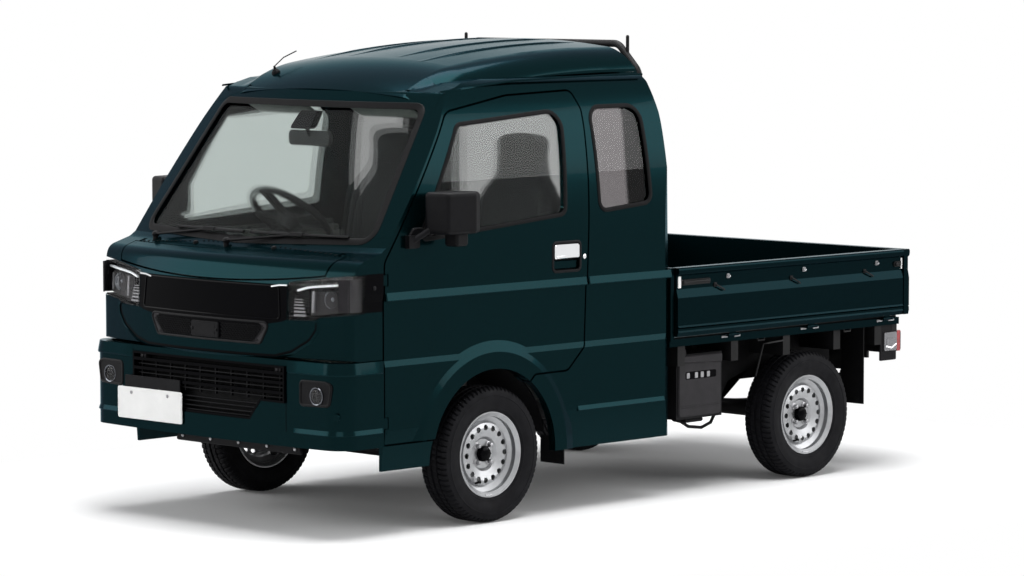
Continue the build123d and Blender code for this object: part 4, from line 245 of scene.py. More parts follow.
def make_materials():
    surface("paint", (0.0015, 0.0108, 0.0125), rough=0.2, metal=0.75, coat=0.045, coat_rough=0.03,
            spec=0.04, edge=EDGE_TINT, vary=0.15, vary_scale=900.0, bump=0.02, bump_scale=1500.0)
    surface("bed_paint", (0.001, 0.0068, 0.0082), rough=0.23, metal=0.7, coat=0.03, coat_rough=0.04,
            spec=0.03, edge=EDGE_TINT, vary=0.15, vary_scale=900.0, bump=0.03, bump_scale=900.0)
    surface("frame_black", (0.005, 0.005, 0.0055), rough=0.5, spec=0.15, vary=0.3, vary_scale=14.0,
            rough_vary=0.1, bump=0.1, bump_scale=300.0)
    surface("wheel_silver", (0.33, 0.335, 0.345), rough=0.36, metal=0.85, vary=0.05, vary_scale=40.0,
            rough_vary=0.06, bump=0.04, bump_scale=700.0)
    surface("tyre_rubber", (0.005, 0.005, 0.0062), rough=0.62, spec=0.08, vary=0.2, vary_scale=30.0,
            rough_vary=0.08, bump=0.12, bump_scale=420.0)
    surface("gloss_black", (0.0008, 0.0008, 0.0014), rough=0.12, coat=0.03, coat_rough=0.02, spec=0.02,
            vary=0.1, vary_scale=8.0)
    surface("grained_black", (0.0045, 0.0045, 0.0054), rough=0.45, spec=0.08, vary=0.15,
            vary_scale=30.0, bump=0.25, bump_scale=900.0, kind="voronoi")
    surface("interior_grey", (0.21, 0.225, 0.213), rough=0.6, vary=0.06, vary_scale=20.0, bump=0.2,
            bump_scale=800.0, kind="voronoi")
    surface("interior_dark", (0.02, 0.02, 0.022), rough=0.55, spec=0.3, vary=0.12, vary_scale=20.0,
            bump=0.2, bump_scale=800.0, kind="voronoi")
    surface("seat_cloth", (0.03, 0.03, 0.034), rough=0.9, spec=0.2, vary=0.25, vary_scale=60.0,
            sheen=0.25, bump=0.22, bump_scale=260.0, kind="weave")
    surface("glass", (0.40, 0.47, 0.445), rough=0.0, transmission=1.0, ior=1.02, alpha=0.5, coat=0.35,
            coat_rough=0.0, spec=0.3)
    surface("tinted_glass", (0.175, 0.16, 0.165), rough=0.0, transmission=1.0, ior=1.02, alpha=0.62,
            coat=0.35, coat_rough=0.0, spec=0.3)
    surface("lens", (0.9, 0.92, 0.93), rough=0.02, transmission=1.0, ior=1.02, alpha=0.2, coat=1.0,
            coat_rough=0.0)
    surface("red_lens", (0.32, 0.008, 0.01), rough=0.12, coat=0.8, vary=0.1, vary_scale=60.0, bump=0.2,
            bump_scale=300.0, kind="voronoi")
    surface("iron", (0.1, 0.098, 0.095), rough=0.6, metal=0.6, vary=0.3, vary_scale=18.0,
            rough_vary=0.12, bump=0.4, bump_scale=180.0)
    surface("rubber", (0.0035, 0.0035, 0.004), rough=0.6, spec=0.08, vary=0.2, vary_scale=25.0,
            bump=0.2, bump_scale=300.0)
    surface("steel", (0.3, 0.3, 0.31), rough=0.38, metal=0.9, vary=0.2, vary_scale=20.0,
            rough_vary=0.12, bump=0.1, bump_scale=260.0)
    surface("chrome", (0.78, 0.79, 0.8), rough=0.08, metal=1.0, rough_vary=0.03, vary_scale=10.0,
            vary=0.02)
    surface("smoked_chrome", (0.09, 0.095, 0.105), rough=0.16, metal=1.0, rough_vary=0.03,
            vary_scale=10.0, vary=0.03)
    surface("mirror_glass", (0.8, 0.82, 0.83), rough=0.02, metal=1.0, vary=0.02, vary_scale=3.0)
    surface("plate_white", (0.8, 0.8, 0.79), rough=0.42, vary=0.03, vary_scale=12.0, bump=0.03,
            bump_scale=200.0)
    surface("amber", (0.6, 0.2, 0.02), rough=0.2, coat=0.6, vary=0.1, vary_scale=40.0)
    surface("silver_plastic", (0.2, 0.2, 0.21), rough=0.25, metal=0.5, coat=0.3, vary=0.05,
            vary_scale=30.0)
    surface("lamp_glow", (0.9, 0.93, 0.95), rough=0.3, vary=0.03, vary_scale=50.0)
    surface("dark_plastic", (0.011, 0.010, 0.012), rough=0.55, spec=0.2, vary=0.2, vary_scale=25.0,
            bump=0.25, bump_scale=500.0, kind="voronoi")


SLOT_MATERIAL = {
    "body_paint": "paint", "bed_paint": "bed_paint", "frame_paint": "frame_black",
    "wheel_steel": "wheel_silver", "tyre": "tyre_rubber", "gloss_black": "gloss_black",
    "trim_black": "grained_black", "interior": "interior_grey", "interior_dark": "interior_dark",
    "seat_fabric": "seat_cloth", "window_glass": "glass", "lamp_lens": "lens", "rear_lens": "red_lens",
    "iron": "iron", "flap_rubber": "rubber", "steel": "steel",
}
OWN_MATERIAL = {"cowl": "paint", "cab_windows": "tinted_glass"}


def dress_nodes():
    """Each CAD node gets its own material, or the one of its slot."""
    slots = {s["node"]: s["material_slot"] for s in frame["record"]["subparts"]}
    for name, obj in frame["nodes"].items():
        obj.data.materials.clear()
        obj.data.materials.append(MATS[OWN_MATERIAL.get(name) or SLOT_MATERIAL[slots[name]]])


# Mesh helpers


class Form:
    """Vertices and faces of one piece, gathered ring by ring."""

    def __init__(self):
        self.verts = []
        self.faces = []

    def ring(self, points):
        start = len(self.verts)
        self.verts.extend(points)
        return list(range(start, start + len(points)))

    def bridge(self, a, b, closed=True):
        count = len(a)
        for i in range(count if closed else count - 1):
            j = (i + 1) % count
            self.faces.append((a[i], a[j], b[j], b[i]))

    def cap(self, ring):
        self.faces.append(tuple(ring))

    def stack(self, rings, caps=True, closed=True, joined=False):
        made = [self.ring(r) for r in rings]
        for a, b in zip(made, made[1:]):
            self.bridge(a, b, closed)
        if joined:
            self.bridge(made[-1], made[0], closed)
        elif caps:
            self.cap(made[0])
            self.cap(made[-1])
        return made

    def rod(self, path, radius, steps=10, joined=False):
        """A round bar along points in metres."""
        rings = []
        count = len(path)
        side = None
        for i, p in enumerate(path):
            before = path[i - 1] if (joined or i) else p
            after = path[(i + 1) % count] if (joined or i < count - 1) else p
            along = (after - before).normalized()
            if side is None:
                side = along.orthogonal().normalized()
            side = (side - along * side.dot(along)).normalized()
            other = along.cross(side)
            rings.append([p + (side * math.cos(a) + other * math.sin(a)) * radius
                          for a in (2 * math.pi * k / steps for k in range(steps))])
        self.stack(rings, joined=joined)

    def turned(self, profile, centre, axis, steps=24, spin=0.0, caps=True):
        """A turned form: profile is (radius, distance along axis) in metres."""
        axis = Vector(axis).normalized()
        side = axis.orthogonal().normalized()
        other = axis.cross(side)
        rings = []
        for radius, along in profile:
            rings.append([centre + axis * along + (side * math.cos(a) + other * math.sin(a)) * radius
                          for a in (spin + 2 * math.pi * k / steps for k in range(steps))])
        self.stack(rings, caps=caps)

    def slab(self, outline, place, low, high, edge=0.0):
        """An outline of 2D points raised from low to high through place(u, v, height)."""
        middle = (sum(p[0] for p in outline) / len(outline), sum(p[1] for p in outline) / len(outline))
        inner = shrink(outline, edge) if edge else outline
        rings = [[place(u, v, low) for u, v in outline]]
        if edge:
            rings.append([place(u, v, high - edge) for u, v in outline])
        rings.append([place(u, v, high) for u, v in inner])
        made = self.stack(rings, caps=False)
        self.cap(made[0])
        hub = self.ring([place(*middle, high)])[0]
        top = made[-1]
        for i in range(len(top)):
            self.faces.append((top[i], top[(i + 1) % len(top)], hub))

    def strip(self, path, closed, section, place):
        """A closed section of (sideways, height) run along 2D points on a surface."""
        count = len(path)
        rings = []
        for i, (u, v) in enumerate(path):
            before = path[i - 1] if (closed or i) else path[i]
            after = path[(i + 1) % count] if (closed or i < count - 1) else path[i]
            du, dv = after[0] - before[0], after[1] - before[1]
            size = math.hypot(du, dv) or 1.0
            rings.append([place(u + dv / size * s, v - du / size * s, h) for s, h in section])
        self.stack(rings, joined=closed)

    def run(self, points, step, section, place):
        """An open strip along points, with stations no further apart than step."""
        self.strip(densify(points, step, False), False, section, place)

    def loop(self, points, step, section, place):
        """A closed strip round points, with stations no further apart than step."""
        self.strip(densify(points, step), True, section, place)

    def box(self, x0, x1, y0, y1, z0, z1, edge=0.0):
        """A block in drawing millimetres with chamfered edges."""
        outline = rectangle(x0, x1, y0, y1, max(edge, 0.01), 3)
        inner = shrink(outline, edge)
        rings = [[P(x, y, z0) for x, y in inner], [P(x, y, z0 + edge) for x, y in outline],
                 [P(x, y, z1 - edge) for x, y in outline], [P(x, y, z1) for x, y in inner]]
        self.stack(rings)


def shrink(outline, amount):
    """Moves a 2D outline inwards by amount."""
    count = len(outline)
    area = sum(outline[i][0] * outline[(i + 1) % count][1] - outline[(i + 1) % count][0] * outline[i][1]
               for i in range(count))
    way = 1.0 if area > 0 else -1.0
    out = []
    for i, (u, v) in enumerate(outline):
        a, b = outline[i - 1], outline[(i + 1) % count]
        du, dv = b[0] - a[0], b[1] - a[1]
        size = math.hypot(du, dv) or 1.0
        out.append((u - dv / size * amount * way, v + du / size * amount * way))
    return out


def rounded(corners, radii, steps=5):
    """A 2D polygon with its corners rounded to the given radii."""
    out = []
    count = len(corners)
    for i, (c, r) in enumerate(zip(corners, radii)):
        here = Vector(c)
        a = Vector(corners[i - 1]) - here
        b = Vector(corners[(i + 1) % count]) - here
        half = a.angle(b) / 2
        reach = min(r / math.tan(half), a.length * 0.49, b.length * 0.49)
        real = reach * math.tan(half)
        centre = here + (a.normalized() + b.normalized()).normalized() * (real / math.sin(half))
        start = here + a.normalized() * reach - centre
        end = here + b.normalized() * reach - centre
        turn = start.angle_signed(end)
        for k in range(steps + 1):
            angle = turn * k / steps
            spun = Vector((start.x * math.cos(-angle) - start.y * math.sin(-angle),
                           start.x * math.sin(-angle) + start.y * math.cos(-angle)))
            out.append(tuple(centre + spun))
    return out


def densify(path, step, closed=True):
    """More points along a 2D path, no further apart than step."""
    out = []
    count = len(path)
    for i in range(count if closed else count - 1):
        a, b = Vector(path[i]), Vector(path[(i + 1) % count])
        parts = max(1, int((b - a).length / step))
        out.extend(tuple(a + (b - a) * k / parts) for k in range(parts))
    if not closed:
        out.append(tuple(path[-1]))
    return out


def rectangle(u0, u1, v0, v1, radius, steps=4):
    """A 2D rectangle with rounded corners."""
    return rounded([(u0, v0), (u1, v0), (u1, v1), (u0, v1)], [radius] * 4, steps)


def piece(name, form, material, body="truck", smooth=35.0):
    """One finished piece of the scene, on its body."""
    mesh = bpy.data.meshes.new(name)
    mesh.from_pydata([tuple(v) for v in form.verts], [], form.faces)
    work = bmesh.new()
    work.from_mesh(mesh)
    bmesh.ops.remove_doubles(work, verts=work.verts, dist=0.00002)
    bmesh.ops.recalc_face_normals(work, faces=work.faces)
    work.to_mesh(mesh)
    work.free()
    mesh.materials.append(MATS[material])
    for polygon in mesh.polygons:
        polygon.use_smooth = True
    mesh.set_sharp_from_angle(angle=math.radians(smooth))
    obj = add_object(name, mesh)
    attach(obj, body)
    return obj


# Places on the body


CAB_HALF = 733
WAIST_Z = 1090
TUMBLE_RADIUS = 2300
GUTTER_Z = 1501.3
ROOF_CORNER_X, ROOF_CORNER_Z, ROOF_CORNER_RADIUS = 13.1, 1377.2, 694
SIDE_LINE = ((255, 716), (410, 731), (654, 731), (677, 726), (905, 726), (936, CAB_HALF),
             (WAIST_Z, CAB_HALF))
FRONT_Y = -845
FRONT_LINE = ((350, FRONT_Y), (820, FRONT_Y), (965, -837), (1052, -812), (1086, -700), (1105, -672),
              (1629, -291))
FACE_AXIS_Y = 2255
BUMPER_BOW = 34


def along_line(line, z):
    """The value at a height on a line of (height, value), held beyond its ends."""
    z = max(z, line[0][0])
    for (z0, v0), (z1, v1) in zip(line, line[1:]):
        if z <= z1:
            return v0 + (v1 - v0) * (z - z0) / (z1 - z0)
    return line[-1][1]


def side_x(z):
    """Half the cab's width at a height, as its cross-section has it."""
    if z <= WAIST_Z:
        return along_line(SIDE_LINE, z)
    if z <= GUTTER_Z:
        return CAB_HALF - TUMBLE_RADIUS * (1 - math.sqrt(1 - ((z - WAIST_Z) / TUMBLE_RADIUS) ** 2))
    return ROOF_CORNER_X + math.sqrt(max(0.0, ROOF_CORNER_RADIUS ** 2 - (z - ROOF_CORNER_Z) ** 2))


def front_middle(z):
    """The front's place on the middle line at a height."""
    return along_line(FRONT_LINE, z)


def face_y(x, z):
    """The front, an arc about an upright axis far behind it."""
    radius = FACE_AXIS_Y - front_middle(z)
    return FACE_AXIS_Y - math.sqrt(radius ** 2 - x ** 2)


def bumper_y(x):
    """The bumper's bow, an arc through its middle and its two corners."""
    radius = (CAB_HALF ** 2 + BUMPER_BOW ** 2) / (2 * BUMPER_BOW)
    return FRONT_Y + radius - math.sqrt(radius ** 2 - x ** 2)


def on_side(sign):
    """The cab's side: y along, z up, h outwards."""
    return lambda y, z, h: P(sign * (side_x(z) + h), y, z)


def under_skin(sign, depth):
    """A surface inside the cab's side, h inwards."""
    return lambda y, z, h: P(sign * (side_x(min(z, WAIST_Z)) - depth - h), y, z)


def on_face(x, z, h):
    """The front and windscreen: x across, z up, h outwards."""
    return P(x, face_y(x, z) - h, z)


def on_bumper(x, z, h):
    return P(x, bumper_y(x) - h, z)


def plane_x(x0, sign):
    """An upright plane at a distance from the middle, h outwards."""
    return lambda y, z, h: P(sign * (x0 + h), y, z)


def plane_y(y0, way):
    """An upright plane across the truck, h rearwards for way 1 and forwards for -1."""
    return lambda x, z, h: P(x, y0 + way * h, z)


TREES = {}
ABOVE = 2200
DOWN = (0, 0, -1)
FORWARD = (0, -1, 0)


def tree_of(mesh):
    return BVHTree.FromPolygons([v.co.copy() for v in mesh.vertices],
                                [tuple(p.vertices) for p in mesh.polygons])


def cast(node, start, way):
    """Where a straight line from start meets a CAD node, or None."""
    if node not in TREES:
        TREES[node] = tree_of(frame["nodes"][node].data)
    return TREES[node].ray_cast(start, Vector(way))[0]


def roof_place(x, y, h):
    """A place h above the roof."""
    hit = cast("roof", P(x, y, ABOVE), DOWN)
    z = hit.z / MM if hit else 1800
    return P(x, y, z + h)


# Windows, seals and doors

SEAL = [(-9, -2), (-8.5, 1.6), (-5, 3.6), (3, 3.2), (8, 1.2), (9, -2)]
PANEL_LINE = [(-2, -1), (-1.5, 2), (1.5, 2), (2, -1)]
LAMP_EDGE = [(-2, -4), (-2, 1), (0, 2), (2, 1), (2, -4)]
RAIL = [(-14.5, -2), (-14, 1), (-10, 4.5), (-3, 6), (6, 5.5), (13, 2.5), (14.5, -2)]
CREASE = [(-4, 0), (3, 3.5), (4, 2), (4, -2), (-4, -2)]
SCREEN_SEAL = [(-13, -2), (-12, 2), (-6, 4.5), (6, 4), (12, 1.6), (13, -2)]


def door_window():
    return rounded([(-408, 1126), (-155, 1559), (428, 1601), (403, 1192)], [24, 40, 70, 32], 6)


def quarter_window():
    return rounded([(602, 1193), (592, 1607), (886, 1608), (905, 1217)], [40, 60, 70, 40], 6)


def screen_window():
    return rounded([(-657, 1127), (0, 1109), (657, 1127), (579, 1629), (-579, 1629)],
                   [45, 900, 45, 45, 45], 6)


def make_window_seals():
    for tag, sign in SIDES:
        form = Form()
        form.loop(door_window(), 40, SEAL, on_side(sign))
        piece("door_seal_" + tag, form, "rubber", "door_" + tag)
        form = Form()
        form.loop(quarter_window(), 40, SEAL, on_side(sign))
        piece("quarter_seal_" + tag, form, "rubber")
    form = Form()
    form.loop(screen_window(), 40, SCREEN_SEAL, on_face)
    piece("screen_seal", form, "rubber")
    form = Form()
    rear = rounded([(-520, 1120), (520, 1120), (490, 1600), (-490, 1600)], [40] * 4, 6)

    def on_rear(x, z, h):
        share = (z - 966) / (1577 - 966)
        return P(x, 1026 - 23 * share + h, z)
    form.loop(rear, 60, SEAL, on_rear)
    piece("rear_seal", form, "rubber")


def make_door_details():
    for tag, sign in SIDES:
        place = on_side(sign)
        door = "door_" + tag
        form = Form()
        outline = rectangle(328, 487, 963, 1081, 19, 6)
        form.strip(outline, True, [(-7, -3), (-6, 1.6), (0, 2.6), (4, 1.2), (5, -3)], place)
        form.slab(rectangle(333, 482, 968, 1076, 15, 5), place, -21, -17, 1)
        piece("handle_bezel_" + tag, form, "grained_black", door)
        form = Form()
        form.slab(rectangle(338, 478, 1014, 1071, 9, 5), place, -12, 5, 3)
        form.slab(rectangle(346, 470, 1016, 1026, 4, 3), place, 4, 9, 2)
        piece("handle_flap_" + tag, form, "chrome", door)
        form = Form()
        form.slab(rectangle(340, 476, 972, 1008, 10, 4), place, -16, -9, 4)
        piece("handle_scoop_" + tag, form, "paint", door)
        form = Form()
        lock = place(508, 1018, 0)
        form.turned([(0.0095, -0.002), (0.0095, 0.0025), (0.008, 0.0035), (0.001, 0.0035)], lock,
                    (sign, 0, 0), 20)
        piece("door_lock_" + tag, form, "chrome", door)
        form = Form()
        sail = rounded([(-478, 1098), (-404, 1098), (-404, 1128), (-381, 1177), (-440, 1177),
                        (-478, 1130)], [10, 10, 6, 8, 14, 10], 4)
        form.slab(sail, place, -2, 9, 4)
        piece("mirror_base_" + tag, form, "grained_black", door)
        form = Form()
        plan = [Vector((868, -204)), Vector((760, -262))]
        along = (plan[1] - plan[0]).normalized()
        normal = Vector((-along.y, along.x))
        if normal.y < 0:
            normal = -normal
        middle = (plan[0] + plan[1]) / 2

        def on_mirror(u, v, h):
            at = middle + along * u + normal * h
            return P(sign * at.x, at.y, v)
        form.slab(rectangle(-44, 44, 1170, 1296, 14, 5), on_mirror, -1, 1.6, 0.8)
        piece("mirror_pane_" + tag, form, "mirror_glass", door)
        form = Form()
        form.strip(rectangle(-46, 46, 1168, 1298, 15, 5), True,
                   [(-3, -1), (-3, 3), (0, 4), (3, 2), (3, -1)], on_mirror)
        piece("mirror_rim_" + tag, form, "grained_black", door)
        form = Form()
        card = rounded([(-530, 664), (440, 664), (500, 900), (500, 1085), (-530, 1085)], [20] * 5, 4)
        form.slab(card, under_skin(sign, 42), 0, 8, 4)
        form.slab(rectangle(-180, 330, 880, 940, 20, 4), under_skin(sign, 50), 0, 32, 8)
        piece("door_card_" + tag, form, "interior_grey", door)


BAND = [(936, 0.3), (907, 6.5), (903.5, 5.0), (903.5, -9), (936, -9)]
SILL_HALF = 731
SILL_LINE = [(422, 0.3), (405, 6.0), (402, 4.5), (402, -6), (422, -6)]


def make_side_bands():
    """The light ledge along the waist, and the short one on the sill."""
    for tag, sign in SIDES:
        for name, section, base, body, start, end in (
                ("door_band", BAND, CAB_HALF, "door_" + tag, -580, 524),
                ("cab_band", BAND, CAB_HALF, "truck", 534, 1023),
                ("sill_band", SILL_LINE, SILL_HALF, "truck", 470, 985)):
            rings = []
            for y in (start, start + 4, end - 4, end):
                keep = 0.35 if y in (start, end) else 1.0
                rings.append([P(sign * (base + (h * keep if h > 0 else h)), y, z) for z, h in section])
            form = Form()
            form.stack(rings)
            piece("%s_%s" % (name, tag), form, "paint", body, smooth=20)


def drip_fade(y):
    """The drip rail sinks into the pillar at its front end."""
    return min(1.0, max(0.05, (y + 190) / 110))


NOSE_COLUMNS = (470, 485, 500, 520, 540, 560, 580, 600, 615, 628)
NOSE_ROWS = tuple(range(-224, -99, 6))


def upper_hull(points):
    """The points of a path that a taut line above it would touch."""
    hull = []
    for p in points:
        while len(hull) > 1 and ((hull[-1][0] - hull[-2][0]) * (p[1] - hull[-2][1])
                                 >= (hull[-1][1] - hull[-2][1]) * (p[0] - hull[-2][0])):
            hull.pop()
        hull.append(p)
    return hull


def make_gutter_noses():
    """The smooth front ends of the gutters, above the windscreen's corners."""
    for tag, sign in SIDES:
        tops = []
        for x in NOSE_COLUMNS:
            found = []
            for y in NOSE_ROWS:
                hits = [cast(node, P(sign * x, y, ABOVE), DOWN) for node in ("roof", "cab_side_" + tag)]
                heights = [hit.z / MM for hit in hits if hit and hit.z > 1.55]
                if heights:
                    found.append((y, max(heights)))
            hull = upper_hull(found)
            column = []
            for y in NOSE_ROWS:
                z = hull[0][1] if y < hull[0][0] else hull[-1][1]
                for (y0, z0), (y1, z1) in zip(hull, hull[1:]):
                    if y0 <= y <= y1:
                        z = z0 + (z1 - z0) * (y - y0) / (y1 - y0)
                column.append(z)
            tops.append(column)
        rings = []
        last = len(NOSE_ROWS) - 1
        for i, y in enumerate(NOSE_ROWS):
            lift = 0.9 if 0 < i < last else -0.6
            upper = [P(sign * x, y, column[i] + lift) for x, column in zip(NOSE_COLUMNS, tops)]
            lower = [P(sign * x, y, column[i] - 3) for x, column in zip(NOSE_COLUMNS, tops)]
            rings.append(upper + lower[::-1])
        form = Form()
        form.stack(rings)
        piece("gutter_nose_" + tag, form, "paint", smooth=50)


def make_roof_details():
    for tag, sign in SIDES:
        form = Form()
        for x, start, end in ((140, 60, 900), (300, 20, 890)):
            path = densify([(start, x * sign), (end, x * sign)], 40, False)
            count = len(path)
            rings = []
            for i, (y, across) in enumerate(path):
                fade = min(1.0, i / 5, (count - 1 - i) / 3)
                top = 5.0 * fade + 0.3
                section = ((-17, -2), (-14, top * 0.3), (-8, top), (8, top), (14, top * 0.3), (17, -2))
                rings.append([roof_place(across + s, y, h) for s, h in section])
            form.stack(rings)
        piece("roof_ribs_" + tag, form, "paint", smooth=50)
        form = Form()
        drip = [(-196, 1684), (221, 1719), (569, 1727), (800, 1731), (960, 1729)]
        path = densify(drip, 40, False)
        form.strip(path, False, [(-3, -8), (-4, 3), (-1, 6), (3, 5), (4, -8)],
                   lambda y, z, h: P(sign * (side_x(min(z, 1700)) + (h - 4) * drip_fade(y)), y, z))
        piece("drip_rail_" + tag, form, "paint")
    form = Form()
    foot = cast("roof", P(-380, -130, ABOVE), DOWN) or P(-380, -130, 1720)
    form.turned([(0.018, -0.004), (0.018, 0.004), (0.013, 0.012), (0.006, 0.018), (0.004, 0.03)], foot,
                (0, -0.35, 1), 20)
    tip = foot + Vector((0, -0.35, 1)).normalized() * 0.028
    form.rod([tip, tip + Vector((0.0, 0.05, 0.035)), tip + Vector((0.0, 0.12, 0.06))], 0.0025, 8)
    piece("antenna_base", form, "rubber")


# Front


MESH_LOW = 745.0
MESH_STEP = 16.0
MESH_ROWS = 8
MESH_WIRE = [(-0.9, -1), (-0.9, 2), (0.9, 2), (0.9, -1)]


def make_front_panel_details():
    form = Form()
    panel = [(-388, 957), (388, 957), (399, 832), (-399, 832)]
    form.loop(rounded(panel, [14] * 4, 4), 40, [(-4, -1), (-3, 2.5), (0, 3.4), (3, 2.0), (4, -1)],
              on_face)
    piece("gloss_panel_lines", form, "gloss_black")
    for tag, sign in SIDES:
        form = Form()
        path = densify([(sign * 352, 955), (sign * 392, 962), (sign * 431, 963)], 12, False)
        form.strip(path, False, [(-4, -1), (-3, 3), (0, 5), (3, 3), (4, -1)], on_face)
        piece("chrome_accent_" + tag, form, "chrome")
    form = Form()
    for row in range(MESH_ROWS):
        z = MESH_LOW + row * MESH_STEP / 2
        half = 295 + 45 * (z - 739) / 73 - 12
        for side in (-1, 1):
            x = 92.0 + (MESH_STEP / 2 if row % 2 else 0)
            while x < half:
                cx = side * x
                form.strip([(cx - 6, z), (cx, z + 3.4), (cx + 6, z), (cx, z - 3.4)], True, MESH_WIRE,
                           on_face)
                x += MESH_STEP
    piece("mesh_grid", form, "grained_black")
    form = Form()
    form.slab(rounded([(-345, 814), (345, 814), (297, 737), (-297, 737)], [14] * 4, 4), on_face, -1,
              1.2, 0.5)
    piece("mesh_back", form, "dark_plastic")
    form = Form()
    form.loop(rounded([(-348, 817), (348, 817), (300, 734), (-300, 734)], [16] * 4, 4), 40,
              [(-5, -1), (-4, 3), (0, 5), (4, 3), (5, -1)], on_face)
    piece("mesh_frame", form, "grained_black")
    form = Form()
    form.slab(rectangle(-80, 80, 741, 803, 10, 4), on_face, 0, 9, 3)
    form.slab(rectangle(-62, 62, 748, 796, 6, 4), on_face, 8, 10, 1)
    for x in (-70, 70):
        form.turned([(0.006, 0), (0.006, 0.003), (0.004, 0.004)], on_face(x, 772, 9), FORWARD, 14)
    piece("sensor_box", form, "grained_black")
    half = [(574, 826), (572, 800), (540, 759), (455, 712), (372, 692), (200, 690)]
    groove = half + [(-x, z) for x, z in reversed(half)]
    groove = densify(rounded(groove, [1, 20, 60, 60, 60, 60, 60, 60, 60, 60, 20, 1], 5), 20, False)
    # A flat dark strip along the groove beside the lip: painted shade, standing in for the shadow that
    # lies in the groove.
    form = Form()
    form.strip(groove, False, [(-5, -2), (-4.5, 0.9), (4.5, 0.9), (5, -2)], on_face)
    piece("front_groove_shade_strip", form, "gloss_black")
    form = Form()
    form.strip(groove, False, [(-16, -2), (-15, 0.6), (-6, 5.0), (-5, 3.5), (-5, -2)], on_face)
    piece("front_lip", form, "paint", smooth=20)
    form = Form()
    for x in (-229, 229):
        foot = cast("cowl", P(x, -694, 1300), DOWN) or P(x, -694, 1086)
        form.turned([(0.011, -0.003), (0.011, 0.004), (0.008, 0.009), (0.003, 0.011)], foot,
                    (0, -0.3, 1), 18)
    for x in range(-560, 561, 28):
        if abs(abs(x) - 229) > 20:
            foot = cast("cowl", P(x, -680, 1300), DOWN)
            if foot:
                form.rod([foot + Vector((0, -0.004, 0.0008)), foot + Vector((0, 0.016, 0.0022))],
                         0.0018, 6)
    piece("washer_nozzles", form, "rubber")


BOWL_RADIUS = 34 * MM


def make_headlamps():
    for tag, sign in SIDES:
        front = lambda x, z, h: on_face(sign * x, z, h)
        form = Form()
        centre = on_face(sign * 618, 915, -17)
        bowl = [(BOWL_RADIUS * r, -0.030 + 0.026 * r * r) for r in (0.12, 0.3, 0.5, 0.7, 0.85, 1.0)]
        rim = [(BOWL_RADIUS * 1.04, -0.003), (BOWL_RADIUS * 1.04, -0.008)]
        form.turned(bowl + rim, centre, FORWARD, 32, caps=False)
        form.turned([(0.010, -0.03), (0.010, -0.012), (0.006, -0.008), (0.001, -0.007)], centre,
                    FORWARD, 16)
        piece("lamp_reflectors_" + tag, form, "smoked_chrome")
        form = Form()
        for level, height in ((850, 9), (864, 8), (877, 7), (889, 6), (900, 5), (910, 4)):
            form.slab(rectangle(456, 512 - (level - 850) * 0.3, level - height / 2, level + height / 2,
                                2, 2), front, -16, -10, 1)
        form.slab(rectangle(536, 548, 862, 945, 4, 3), front, -20, -12, 2)
        form.slab(rectangle(664, 672, 880, 950, 3, 3), front, -20, -12, 2)
        piece("lamp_squares_" + tag, form, "silver_plastic")
        form = Form()
        bar = densify([(470, 944), (520, 958), (600, 966), (694, 975)], 14, False)
        form.strip(bar, False, [(-4, -18), (-4, -10), (0, -8.5), (4, -10), (4, -18)], front)
        piece("lamp_light_bar_" + tag, form, "lamp_glow")
        form = Form()
        form.slab(rounded([(520, 850), (596, 856), (700, 872), (700, 950), (520, 940)], [8] * 5, 4),
                  front, -34, -28, 2)
        form.slab(rectangle(-752, -688, 870, 996, 6, 3), plane_x(712, sign), 0, 4, 1)
        corner = [P(sign * x, y, 872) for x, y in ((690, -786), (704, -772), (712, -752))]
        wall = corner + [p + Vector((0, 0, 0.122)) for p in reversed(corner)]
        form.stack([wall, [p + Vector((-sign * 0.004, 0.004, 0)) for p in wall]])
        piece("lamp_back_" + tag, form, "dark_plastic")
        form = Form()
        form.run([(440, 836), (569, 842), (588, 852), (690, 866)], 18, LAMP_EDGE, front)
        form.run([(440, 972), (600, 984), (690, 993)], 18, LAMP_EDGE, front)
        piece("lamp_edge_" + tag, form, "gloss_black")
        form = Form()
        form.turned([(0.009, -0.003), (0.009, 0.0015), (0.006, 0.003), (0.001, 0.003)],
                    on_side(sign)(-640, 958, 0), (sign, 0, 0), 18)
        piece("lamp_trim_plug_" + tag, form, "grained_black")


def bumper_wrap(sign, z, first):
    """Points on the bumper's face from first millimetres off the middle round to the door."""
    rays = [(P(sign * x, -1000, z), (0, 1, 0)) for x in range(first, 640, 30)]
    for k in range(10):
        angle = math.radians(k * 10)
        way = Vector((sign * math.sin(angle), -math.cos(angle), 0))
        rays.append((P(sign * 643, -712, z) + way * 0.3, -way))
    rays += [(P(sign * 900, y, z), (-sign, 0, 0)) for y in (-680, -640, -612, -597)]
    hits = [cast("front_bumper", *ray) for ray in rays]
    return [hit for hit in hits if hit]


